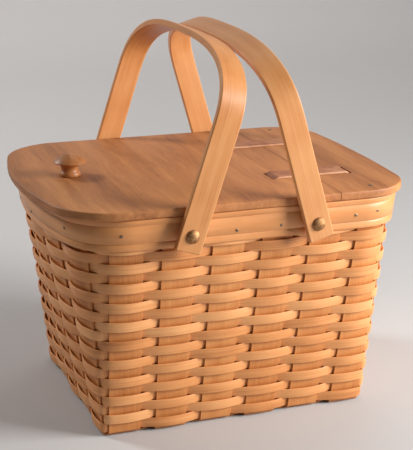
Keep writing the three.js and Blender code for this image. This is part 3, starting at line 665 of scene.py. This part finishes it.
tack_profile = [(0.0, -TACK_DEPTH), (TACK_RADIUS, -TACK_DEPTH), (TACK_RADIUS, 0.5 * TACK_HEIGHT)]
tack_profile += [(0.7 * TACK_RADIUS, 0.9 * TACK_HEIGHT), (0.0, TACK_HEIGHT)]


def turn_near(x, y):
    """The place round the rim, in splints, that lies nearest to a point of the outline."""
    turns = [k / TURNS_TRIED for k in range(TURNS_TRIED * SPLINTS_ROUND)]
    spot = Vector((base_middle + x, y))
    return min(turns, key=lambda turn: (on_wall(turn, rim_high.z, 0.0).to_2d() - spot).length)


def tack_piece(name, spots):
    """The tacks of one side as one piece, each square to the band."""
    shape = bmesh.new()
    for x, y, drop in spots:
        turn = turn_near(x, y)
        height = rim_high.z - drop * MM
        seat = on_wall(turn, height, RIM_BAND_OUTSIDE)
        outward = seat - on_wall(turn, height, 0.0)
        add_turned(shape, tack_profile, frame_at(seat, outward), TACK_SIDES)
    piece = mesh_piece(name, shape)
    finish_piece(piece, tack_finish, "basket", "steel")


long_reach = rim_high.y
left_reach = rim_low.x - base_middle
right_reach = rim_high.x - base_middle
tack_piece("rim_tacks_front", [(x * MM, -long_reach, drop) for x, drop in FRONT_TACKS])
tack_piece("rim_tacks_back", [(-x * MM, long_reach, drop) for x, drop in FRONT_TACKS])
tack_piece("rim_tacks_left", [(left_reach, y * MM, drop) for y, drop in LEFT_TACKS])
tack_piece("rim_tacks_right", [(right_reach, -y * MM, drop) for y, drop in LEFT_TACKS])

# The lid: two flat boards with rounded corners and gently bowed ends, their grain across the
# basket. The small one is nailed to the rim, and both have slots for the leather straps.
lid_low, lid_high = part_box("lid_panel")
fixed_low, fixed_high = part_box("fixed_lid_panel")
strap_low, strap_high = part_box("hinge_strap_front")
LID_RADIUS = 42 * MM
LID_EDGE = 1.8 * MM
LID_EDGE_STEPS = 5
LID_CREASE_DEG = 30
SLOT_FIT = 0.4 * MM
SLOT_GAP = 2.6 * MM
STRAP_THICKNESS = 2 * MM
STRAP_REACH = 38.5 * MM
STRAP_TAIL = 14 * MM
CORNER_STEPS = 20
split_x = (lid_high.x + fixed_low.x) / 2
strap_boxes = [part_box(f"hinge_strap_{side}") for side in ("front", "back")]
strap_middles = [(low.y + high.y) / 2 for low, high in strap_boxes]
STRAP_HALF_WIDTH = (strap_high.y - strap_low.y) / 2


def board_wood(name, dark, middle, light, roughness):
    """A stained board: grain along Y that wanders a little, darker pores and a slow figure."""
    finish, nodes, links, shader = new_finish(name)
    place = nodes.new("ShaderNodeTexCoord")
    wander = add_node(nodes, "ShaderNodeTexNoise", Scale=9.0, Detail=2.0)
    links.new(place.outputs["Object"], wander.inputs["Vector"])
    bent = add_node(nodes, "ShaderNodeVectorMath", [("operation", "MULTIPLY_ADD")])
    bent.inputs[1].default_value = (0.02, 0.02, 0.02)
    links.new(wander.outputs["Color"], bent.inputs[0])
    links.new(place.outputs["Object"], bent.inputs[2])

    def grain(scale, detail, rough):
        stretch = add_node(nodes, "ShaderNodeMapping", Scale=scale)
        noise = add_node(nodes, "ShaderNodeTexNoise", Scale=1.0, Detail=detail, Roughness=rough)
        links.new(bent.outputs[0], stretch.inputs["Vector"])
        links.new(stretch.outputs["Vector"], noise.inputs["Vector"])
        return noise.outputs["Fac"]

    figure = grain((26.0, 3.0, 26.0), 3.0, 0.5)
    lines = grain((170.0, 7.0, 170.0), 4.0, 0.6)
    pores = grain((1100.0, 45.0, 1100.0), 3.0, 0.6)
    open_pores = add_share(nodes, links, pores, 0.2)
    open_pores.inputs[2].default_value = 0.0
    fine_grain = add_share(nodes, links, lines, 0.3, open_pores)
    all_grain = add_share(nodes, links, figure, 0.5, fine_grain)
    ramp = nodes.new("ShaderNodeValToRGB")
    color_steps(ramp, [(0.36, dark), (0.5, middle), (0.66, light)])
    links.new(all_grain.outputs[0], ramp.inputs["Fac"])
    links.new(ramp.outputs["Color"], shader.inputs["Base Color"])
    bump = add_node(nodes, "ShaderNodeBump", Strength=0.2, Distance=0.2 * MM)
    links.new(fine_grain.outputs[0], bump.inputs["Height"])
    links.new(bump.outputs["Normal"], shader.inputs["Normal"])
    gloss = add_node(nodes, "ShaderNodeMapRange", To_Min=roughness - 0.05, To_Max=roughness + 0.12)
    links.new(lines, gloss.inputs["Value"])
    links.new(gloss.outputs["Result"], shader.inputs["Roughness"])
    return finish


lid_finish = board_wood(
    "lid_wood", (0.25, 0.08, 0.02), (0.44, 0.166, 0.049), (0.60, 0.255, 0.085), 0.52,
)


def add_ring(shape, points, height):
    """A level ring of edges through the points of an outline."""
    corners = [shape.verts.new((x, y, height)) for x, y in points]
    return [shape.edges.new((corners[k - 1], corners[k])) for k in range(len(corners))]


def board_outline(split, end, bow, half_width, inset):
    """Half of the lid: straight at the split, round at its two corners and bowed at its end. The
    inset draws it in all round, but not at the split."""
    way = 1 if end > split else -1
    side = end - way * (bow + inset)
    straight = half_width - LID_RADIUS
    radius = LID_RADIUS - inset
    corner = []
    for k in range(CORNER_STEPS + 1):
        angle = math.pi / 2 * k / CORNER_STEPS
        x = side - way * radius * (1 - math.sin(angle))
        corner.append((x, -straight - radius * math.cos(angle)))
    edge = [(side, straight * (2 * k / CORNER_STEPS - 1)) for k in range(1, CORNER_STEPS)]
    round_end = corner + edge + [(x, -y) for x, y in reversed(corner)]
    bowed = [(x + way * bow * (1 - (y / half_width) ** 2), y) for x, y in round_end]
    return [(split, -straight - radius)] + bowed + [(split, straight + radius)]


def slot_outline(x, y, way):
    """A strap's slot, which stays open on the side away from the split."""
    left = x - (SLOT_GAP if way < 0 else SLOT_FIT)
    right = x + STRAP_THICKNESS + (SLOT_GAP if way > 0 else SLOT_FIT)
    half = STRAP_HALF_WIDTH + SLOT_FIT
    return [(left, y - half), (right, y - half), (right, y + half), (left, y + half)]


def board_piece(name, node, split, end, bow, low, high, slot_x, body):
    """One board with rounded edges, as rings that are bridged and filled round its slots."""
    way = 1 if end > split else -1
    shape = bmesh.new()
    profile = []
    for k in range(LID_EDGE_STEPS + 1):
        angle = math.pi / 2 * k / LID_EDGE_STEPS
        profile.append((LID_EDGE * (1 - math.sin(angle)), LID_EDGE * (1 - math.cos(angle))))
    heights = [(inset, low.z + rise) for inset, rise in profile]
    heights += [(inset, high.z - rise) for inset, rise in reversed(profile)]
    rings = []
    for inset, height in heights:
        rings.append(add_ring(shape, board_outline(split, end, bow, high.y, inset), height))
    for lower, upper in zip(rings, rings[1:]):
        bmesh.ops.bridge_loops(shape, edges=lower + upper)
    bottom, top = rings[0], rings[-1]
    for y in strap_middles:
        slot = slot_outline(slot_x, y, way)
        lower, upper = add_ring(shape, slot, low.z), add_ring(shape, slot, high.z)
        bmesh.ops.bridge_loops(shape, edges=lower + upper)
        bottom, top = bottom + lower, top + upper
    for edges in (bottom, top):
        bmesh.ops.triangle_fill(shape, use_beauty=True, use_dissolve=False, edges=edges)
    piece = mesh_piece(name, shape, LID_CREASE_DEG)
    finish_piece(piece, lid_finish, body, "lid_wood", node)


board_piece(
    "lid_board", "lid_panel", lid_high.x, lid_low.x, LIFTING_END_BOW, lid_low, lid_high,
    split_x - STRAP_REACH, "lid",
)
board_piece(
    "fixed_lid_board", "fixed_lid_panel", fixed_low.x, fixed_high.x, FIXED_END_BOW,
    fixed_low, fixed_high, split_x + STRAP_REACH - STRAP_THICKNESS, "basket",
)

# The lid nails: two thin steel nails, driven through the fixed board into the inner band, one at
# the front and one at the back. Only their low round heads show.
NAIL_RADIUS = 0.9 * MM
NAIL_HEAD = 2.1 * MM
NAIL_HEAD_EDGE = 0.25 * MM
NAIL_HEAD_HEIGHT = 0.5 * MM
NAIL_SIDES = 16
nail_finish = metal("nail_steel", (0.16, 0.11, 0.08), (0.34, 0.28, 0.23), roughness=0.5, scale=800.0)


def turned_piece(name, profile, place, sides, finish, body, slot, node, crease_deg=CREASE_DEG):
    """One turned piece that stands for one node."""
    shape = bmesh.new()
    add_turned(shape, profile, place, sides)
    piece = mesh_piece(name, shape, crease_deg)
    finish_piece(piece, finish, body, slot, node)


for side in ("front", "back"):
    nail_low, nail_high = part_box(f"lid_nail_{side}")
    spot = (nail_low + nail_high) / 2
    nail_profile = [(0.0, nail_low.z), (NAIL_RADIUS, nail_low.z), (NAIL_RADIUS, lid_high.z)]
    nail_profile += [(NAIL_HEAD, lid_high.z), (NAIL_HEAD, lid_high.z + NAIL_HEAD_EDGE)]
    nail_profile += [(0.0, lid_high.z + NAIL_HEAD_HEIGHT)]
    turned_piece(
        f"board_nail_{side}", nail_profile, Matrix.Translation((spot.x, spot.y, 0.0)), NAIL_SIDES,
        nail_finish, "basket", "steel", f"lid_nail_{side}",
    )

# The knob: turned from the same wood as the lid, a shallow mushroom cap on a waisted stem,
# screwed on from under the board near its lifting end.
KNOB_FOOT = 10 * MM
KNOB_FOOT_EASE = 0.4 * MM
KNOB_FOOT_LOW = 0.5 * MM
KNOB_FOOT_HIGH = 1.6 * MM
KNOB_FOOT_TAPER = 0.1 * MM
KNOB_WAIST = 7.75 * MM
KNOB_WAIST_HEIGHT = 6.5 * MM
KNOB_EDGE_HEIGHT = 13.4 * MM
KNOB_EDGE = 0.5 * MM
KNOB_STEPS = 8
KNOB_CAP_STEPS = 12
KNOB_SIDES = 48
KNOB_CREASE_DEG = 50
knob_low, knob_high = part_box("lid_knob")
knob_middle = (knob_low + knob_high) / 2
knob_radius = (knob_high.x - knob_low.x) / 2
knob_top = knob_high.z - knob_low.z
cap_radius = knob_radius - KNOB_EDGE / 2
cap_base = KNOB_EDGE_HEIGHT + KNOB_EDGE
flare = KNOB_EDGE_HEIGHT - KNOB_EDGE - KNOB_WAIST_HEIGHT
knob_profile = [(0.0, 0.0), (KNOB_FOOT - KNOB_FOOT_EASE, 0.0), (KNOB_FOOT, KNOB_FOOT_LOW)]
knob_profile.append((KNOB_FOOT - KNOB_FOOT_TAPER, KNOB_FOOT_HIGH))
for k in range(1, KNOB_STEPS + 1):
    share = k / KNOB_STEPS
    eased = 0.5 - 0.5 * math.cos(math.pi * share)
    radius = KNOB_FOOT - (KNOB_FOOT - KNOB_WAIST) * eased
    knob_profile.append((radius, KNOB_FOOT_HIGH + (KNOB_WAIST_HEIGHT - KNOB_FOOT_HIGH) * share))
for k in range(1, KNOB_STEPS + 1):
    angle = math.pi / 2 * k / KNOB_STEPS
    radius = KNOB_WAIST + (cap_radius - KNOB_WAIST) * (1 - math.cos(angle))
    knob_profile.append((radius, KNOB_WAIST_HEIGHT + flare * math.sin(angle)))
knob_profile.append((knob_radius, KNOB_EDGE_HEIGHT))
for k in range(KNOB_CAP_STEPS + 1):
    share = 1 - k / KNOB_CAP_STEPS
    knob_profile.append((cap_radius * share, cap_base + (knob_top - cap_base) * (1 - share * share)))
knob_finish = board_wood(
    "knob_wood", (0.29, 0.095, 0.022), (0.46, 0.175, 0.05), (0.58, 0.25, 0.085), 0.40,
)
turned_piece(
    "turned_knob", knob_profile, Matrix.Translation((knob_middle.x, knob_middle.y, knob_low.z)),
    KNOB_SIDES, knob_finish, "lid", "knob_wood", "lid_knob", KNOB_CREASE_DEG,
)

# The knob's screw: a plain round-headed steel wood screw, driven up through the board into the
# knob. Only its head shows, under the lid.
SCREW_RADIUS = 2 * MM
SCREW_HEAD = 4.5 * MM
SCREW_HEAD_HEIGHT = 2.4 * MM
SCREW_HEAD_FLAT = 0.6 * SCREW_HEAD
SCREW_HEAD_CROWN = 0.2 * MM
SCREW_HEAD_EDGE = 1.2 * MM
SCREW_POINT = 3 * MM
SCREW_SIDES = 24
screw_low, screw_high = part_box("knob_screw")
under_board = screw_low.z + SCREW_HEAD_HEIGHT
screw_profile = [(0.0, screw_low.z), (SCREW_HEAD_FLAT, screw_low.z + SCREW_HEAD_CROWN)]
screw_profile += [(SCREW_HEAD, screw_low.z + SCREW_HEAD_EDGE), (SCREW_HEAD, under_board)]
screw_profile += [(SCREW_RADIUS, under_board), (SCREW_RADIUS, screw_high.z - SCREW_POINT)]
screw_profile.append((0.0, screw_high.z))
turned_piece(
    "wood_screw", screw_profile, Matrix.Translation((knob_middle.x, knob_middle.y, 0.0)), SCREW_SIDES,
    nail_finish, "lid", "steel", "knob_screw",
)

# The hinge straps: each is one strip of thick leather laid over the split, its ends pushed down
# through slots in both boards and turned out underneath.
STRAP_BEND = 3.2 * MM
STRAP_STEPS = 10
STRAP_FLAT_STEPS = 40
STRAP_ACROSS = 6
STRAP_EASE = 0.45 * MM
STRAP_EASE_STEPS = 3


def strap_leather(name, dark, middle, light):
    """Vegetable-tanned leather: a pebbled grain and a faint change of shade."""
    finish, nodes, links, shader = new_finish(name)
    place = nodes.new("ShaderNodeTexCoord")
    pebble = add_node(nodes, "ShaderNodeTexVoronoi", Scale=900.0)
    cloud = add_node(nodes, "ShaderNodeTexNoise", Scale=60.0, Detail=4.0)
    links.new(place.outputs["Object"], pebble.inputs["Vector"])
    links.new(place.outputs["Object"], cloud.inputs["Vector"])
    ramp = nodes.new("ShaderNodeValToRGB")
    color_steps(ramp, [(0.35, dark), (0.5, middle), (0.68, light)])
    links.new(cloud.outputs["Fac"], ramp.inputs["Fac"])
    links.new(ramp.outputs["Color"], shader.inputs["Base Color"])
    bump = add_node(nodes, "ShaderNodeBump", Strength=0.35, Distance=0.2 * MM)
    links.new(pebble.outputs["Distance"], bump.inputs["Height"])
    links.new(bump.outputs["Normal"], shader.inputs["Normal"])
    shader.inputs["Roughness"].default_value = 0.62
    return finish


def strap_path():
    """The middle line of a strap in X and Z, from the lid's tail over the split to the fixed tail."""
    half = STRAP_THICKNESS / 2
    left, right = split_x - STRAP_REACH + half, split_x + STRAP_REACH - half
    top, under = lid_high.z + half, lid_low.z - half
    path = [(left - STRAP_TAIL, under)]

    def turn(centre_x, centre_z, start, end):
        for k in range(STRAP_STEPS + 1):
            angle = math.radians(start + (end - start) * k / STRAP_STEPS)
            x = centre_x + STRAP_BEND * math.cos(angle)
            path.append((x, centre_z + STRAP_BEND * math.sin(angle)))

    turn(left - STRAP_BEND, under + STRAP_BEND, -90, 0)
    turn(left + STRAP_BEND, top - STRAP_BEND, 180, 90)
    for k in range(1, STRAP_FLAT_STEPS):
        share = k / STRAP_FLAT_STEPS
        path.append((left + STRAP_BEND + (right - left - 2 * STRAP_BEND) * share, top))
    turn(right - STRAP_BEND, top - STRAP_BEND, 90, 0)
    turn(right + STRAP_BEND, under + STRAP_BEND, 180, 270)
    path.append((right + STRAP_TAIL, under))
    return path


def apply_modifiers(piece):
    """Turns a piece's modifiers into its own mesh."""
    ready = piece.evaluated_get(bpy.context.evaluated_depsgraph_get())
    mesh = bpy.data.meshes.new_from_object(ready)
    piece.modifiers.clear()
    piece.data = mesh


leather_finish = strap_leather(
    "strap_leather", (0.27, 0.092, 0.038), (0.39, 0.15, 0.066), (0.48, 0.21, 0.10),
)
# A paler copy of the leather for the strap's edges: a painted highlight where they catch the light.
edge_highlight_finish = strap_leather(
    "strap_edge_highlight", (0.40, 0.185, 0.092), (0.53, 0.285, 0.155), (0.62, 0.37, 0.22),
)
path = strap_path()


def strap_piece(side, middle):
    """One strap, its edges painted paler as a highlight. It follows the boards and goes down through
    their slots.
    """

    def place(step, width):
        x, z = path[round(step)]
        return Vector((x, middle + width * STRAP_HALF_WIDTH, z))

    strap = strip_mesh(f"leather_strap_{side}", len(path) - 1, STRAP_ACROSS, place)
    thicken(strap, STRAP_THICKNESS, STRAP_EASE, STRAP_EASE_STEPS)
    strap.data.materials.append(leather_finish)
    # The edges get the paler copy, a painted highlight.
    strap.data.materials.append(edge_highlight_finish)
    strap.modifiers["thickness"].material_offset_rim = 1
    apply_modifiers(strap)
    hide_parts(f"hinge_strap_{side}")
    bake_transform(strap)


for side, middle in zip(("front", "back"), strap_middles):
    strap_piece(side, middle)

# The handles: flat strips of bent wood with eased edges, up one leg, over a rounded arch and down
# the other, hung on a rivet at each foot. At rest they lean together over the lid.
HANDLE_WIDTH = 23.8 * MM
HANDLE_THICKNESS = 6 * MM
HANDLE_RISE = 160.5 * MM
HANDLE_STRAIGHT = 94 * MM
HANDLE_TAIL = 15 * MM
HANDLE_POWER = 2.85
HANDLE_LENGTH = 620 * MM
HANDLE_ACROSS = 4
HANDLE_EASE = 1.1 * MM
HANDLE_EASE_STEPS = 3
LEG_STEPS = 20
ARCH_STEPS = 72
joints = {joint["name"]: joint for joint in frame["joints"]}
leg_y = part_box("left_handle")[1].y - HANDLE_THICKNESS / 2
handle_finish = strip_wood(
    "handle_wood", HANDLE_LENGTH, HANDLE_WIDTH,
    (0.42, 0.145, 0.037), (0.61, 0.25, 0.08), (0.72, 0.345, 0.135), 0.36, fine=1.3,
)


def arch_point(step):
    """Point of a handle's middle line, Y and height over its pivot."""
    leg = HANDLE_STRAIGHT + HANDLE_TAIL
    if step <= LEG_STEPS:
        return -leg_y, -HANDLE_TAIL + leg * step / LEG_STEPS
    step -= LEG_STEPS
    if step >= ARCH_STEPS:
        return leg_y, HANDLE_STRAIGHT - leg * (step - ARCH_STEPS) / LEG_STEPS
    angle = math.pi * step / ARCH_STEPS
    power = 2 / HANDLE_POWER
    across = math.copysign(abs(math.cos(angle)) ** power, math.cos(angle))
    up = math.sin(angle) ** power
    return -leg_y * across, HANDLE_STRAIGHT + (HANDLE_RISE - HANDLE_STRAIGHT) * up


def handle_piece(side, way, tone):
    """One handle, leaned over its pivot until its edge meets the other handle."""
    pivot = Vector(joints[f"{side}_handle_swing"]["pos_m"])
    top = HANDLE_RISE + HANDLE_THICKNESS / 2
    low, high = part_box(f"{side}_handle")
    reach = abs((high.x if way > 0 else low.x) - pivot.x)
    lean = math.asin(reach / math.hypot(top, HANDLE_WIDTH / 2)) - math.atan2(HANDLE_WIDTH / 2, top)
    turn = Matrix.Translation(pivot) @ Matrix.Rotation(way * lean, 4, "Y")

    def place(step, width):
        y, height = arch_point(step)
        return turn @ Vector((width * HANDLE_WIDTH / 2, y, height))

    piece = strip_mesh(f"bent_{side}_handle", 2 * LEG_STEPS + ARCH_STEPS, HANDLE_ACROSS, place)
    give_tone(piece, tone)
    thicken(piece, HANDLE_THICKNESS, HANDLE_EASE, HANDLE_EASE_STEPS)
    finish_piece(piece, handle_finish, f"{side}_handle", "handle_wood", f"{side}_handle")


handle_piece("left", 1, tone=0.35)
handle_piece("right", -1, tone=0.7)

# The handle pivots: a copper-bronze rivet with a low domed head goes through each handle foot,
# a turned wooden spacer and the rim, and is closed over a washer inside.
RIVET_RADIUS = 3 * MM
RIVET_POINT_EASE = 0.6 * MM
RIVET_HEAD = 6.35 * MM
RIVET_HEAD_HEIGHT = 3.6 * MM
RIVET_EDGE = 0.4 * MM
RIVET_EDGE_EASE = 0.3 * MM
RIVET_CROWN = 1.5
DOME_STEPS = 8
SPACER_RADIUS = 6.5 * MM
SPACER_EASE = 0.5 * MM
WASHER_RADIUS = 6.5 * MM
WASHER_SLANT = 0.9 * MM
PIVOT_SIDES = 32
rivet_finish = metal("rivet_bronze", (0.30, 0.15, 0.062), (0.52, 0.29, 0.135), roughness=0.6, scale=420.0)


def span_of(node):
    """The nearest and the farthest distance of a node from the basket's middle line."""
    low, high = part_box(node)
    return sorted((abs(low.y), abs(high.y)))


def rivet_profile(tail):
    """A pin with an eased point, and a flat-seated head that rises to a low dome."""
    seat = leg_y + HANDLE_THICKNESS / 2
    profile = [(0.0, tail), (RIVET_RADIUS - RIVET_POINT_EASE, tail)]
    profile += [(RIVET_RADIUS, tail + RIVET_POINT_EASE), (RIVET_RADIUS, seat)]
    profile += [(RIVET_HEAD - RIVET_EDGE_EASE, seat), (RIVET_HEAD, seat + RIVET_EDGE)]
    for k in range(1, DOME_STEPS + 1):
        angle = math.pi / 2 * k / DOME_STEPS
        dome = (RIVET_HEAD_HEIGHT - RIVET_EDGE) * math.sin(angle) ** RIVET_CROWN
        profile.append((RIVET_HEAD * math.cos(angle), seat + RIVET_EDGE + dome))
    return profile


def spacer_profile(near, far):
    """A bored disc, eased where it meets the handle."""
    profile = [(RIVET_RADIUS, near), (SPACER_RADIUS, near), (SPACER_RADIUS, far - SPACER_EASE)]
    return profile + [(SPACER_RADIUS - SPACER_EASE, far), (RIVET_RADIUS, far), (RIVET_RADIUS, near)]


def washer_profile(near, far):
    """A plain bored disc. Its solid is cut to the wall's slope, so it reaches further in."""
    profile = [(RIVET_RADIUS, near), (WASHER_RADIUS, near), (WASHER_RADIUS, far)]
    return profile + [(RIVET_RADIUS, far), (RIVET_RADIUS, near)]


for side in ("left", "right"):
    pivot = Vector(joints[f"{side}_handle_swing"]["pos_m"])
    for face, way in (("front", -1), ("back", 1)):
        stand = frame_at(Vector((pivot.x, 0.0, pivot.z)), Vector((0, way, 0)))
        node = f"handle_rivet_{side}_{face}"
        turned_piece(
            f"domed_rivet_{side}_{face}", rivet_profile(span_of(node)[0]), stand, PIVOT_SIDES,
            rivet_finish, "basket", "bronze", node,
        )
        node = f"handle_spacer_{side}_{face}"
        turned_piece(
            f"turned_spacer_{side}_{face}", spacer_profile(*span_of(node)), stand, PIVOT_SIDES,
            knob_finish, "basket", "rim_wood", node,
        )
        node = f"rivet_burr_{side}_{face}"
        near, far = span_of(node)
        turned_piece(
            f"washer_{side}_{face}", washer_profile(near + WASHER_SLANT, far), stand, PIVOT_SIDES,
            rivet_finish, "basket", "bronze", node,
        )

# The studio: a grey paper sweep that runs from the floor up behind the basket, with painted light in
# its colour: darker on the floor and paler with distance up the back; a soft lamp in front on the
# right, a weaker one behind on the left, one above the back of the sweep, and a dim even room.
SWEEP_FRONT, SWEEP_BACK, SWEEP_HALF = -3.0, 1.6, 3.5
SWEEP_RADIUS, SWEEP_TOP = 0.9, 3.2
FLOOR_STEPS, CURVE_STEPS = 6, 12
PAINTED_LIGHT_NEAR, PAINTED_LIGHT_FAR = 0.2, 1.9
LAMP_WHITE = (1.0, 0.985, 0.965)
PAPER_LAMP_WHITE = (1.0, 0.985, 0.98)
ROOM_WHITE = (1.0, 0.99, 0.98, 1.0)
ROOM_STRENGTH = 0.12


def sweep_place(step, width):
    """Point of the sweep: along the floor, round the curve and up to its top edge."""
    if step <= FLOOR_STEPS:
        y = SWEEP_FRONT + (SWEEP_BACK - SWEEP_FRONT) * step / FLOOR_STEPS
        return Vector((width * SWEEP_HALF, y, 0.0))
    step -= FLOOR_STEPS
    if step <= CURVE_STEPS:
        angle = math.pi / 2 * step / CURVE_STEPS
        y = SWEEP_BACK + SWEEP_RADIUS * math.sin(angle)
        return Vector((width * SWEEP_HALF, y, SWEEP_RADIUS * (1 - math.cos(angle))))
    return Vector((width * SWEEP_HALF, SWEEP_BACK + SWEEP_RADIUS, SWEEP_TOP))


sweep = strip_mesh("paper_sweep", FLOOR_STEPS + CURVE_STEPS + 1, 2, sweep_place)
paper, nodes, links, shader = new_finish("sweep_paper")
paper_place = nodes.new("ShaderNodeTexCoord")
paper_axes = nodes.new("ShaderNodeSeparateXYZ")
# Painted light: the paper's colour goes from darker near the front to paler up the back, in place of
# light that falls unevenly on one plain paper.
painted_light_depth = add_node(nodes, "ShaderNodeMapRange", From_Min=PAINTED_LIGHT_NEAR, From_Max=PAINTED_LIGHT_FAR)
painted_sweep_light = nodes.new("ShaderNodeValToRGB")
color_steps(painted_sweep_light, [(0.0, (0.51, 0.50, 0.497)), (1.0, (0.76, 0.735, 0.725))])
links.new(paper_place.outputs["Object"], paper_axes.inputs["Vector"])
links.new(paper_axes.outputs["Y"], painted_light_depth.inputs["Value"])
links.new(painted_light_depth.outputs["Result"], painted_sweep_light.inputs["Fac"])
links.new(painted_sweep_light.outputs["Color"], shader.inputs["Base Color"])
shader.inputs["Roughness"].default_value = 0.9
sweep.data.materials.append(paper)


def soft_lamp(name, place, target, size, power, color):
    """A square lamp of a given size, aimed at a point."""
    data = bpy.data.lights.new(name, "AREA")
    data.size = size
    data.energy = power
    data.color = color
    lamp = bpy.data.objects.new(name, data)
    aim = (Vector(target) - Vector(place)).to_track_quat("-Z", "Y").to_matrix().to_4x4()
    lamp.matrix_world = Matrix.Translation(place) @ aim
    scene.collection.objects.link(lamp)


soft_lamp("key_lamp", (0.912, -0.636, 0.60), (0.0, 0.0, 0.15), size=0.6, power=25.0, color=LAMP_WHITE)
soft_lamp("back_lamp", (-1.25, 1.1, 1.35), (0.0, 0.0, 0.2), size=0.4, power=20.0, color=LAMP_WHITE)
soft_lamp("sweep_lamp", (0.9, 1.3, 2.6), (1.0, 2.5, 0.9), size=1.2, power=17.0, color=PAPER_LAMP_WHITE)
room = bpy.data.worlds.new("room")
room.use_nodes = True
background = room.node_tree.nodes["Background"]
background.inputs["Color"].default_value = ROOM_WHITE
background.inputs["Strength"].default_value = ROOM_STRENGTH
scene.world = room
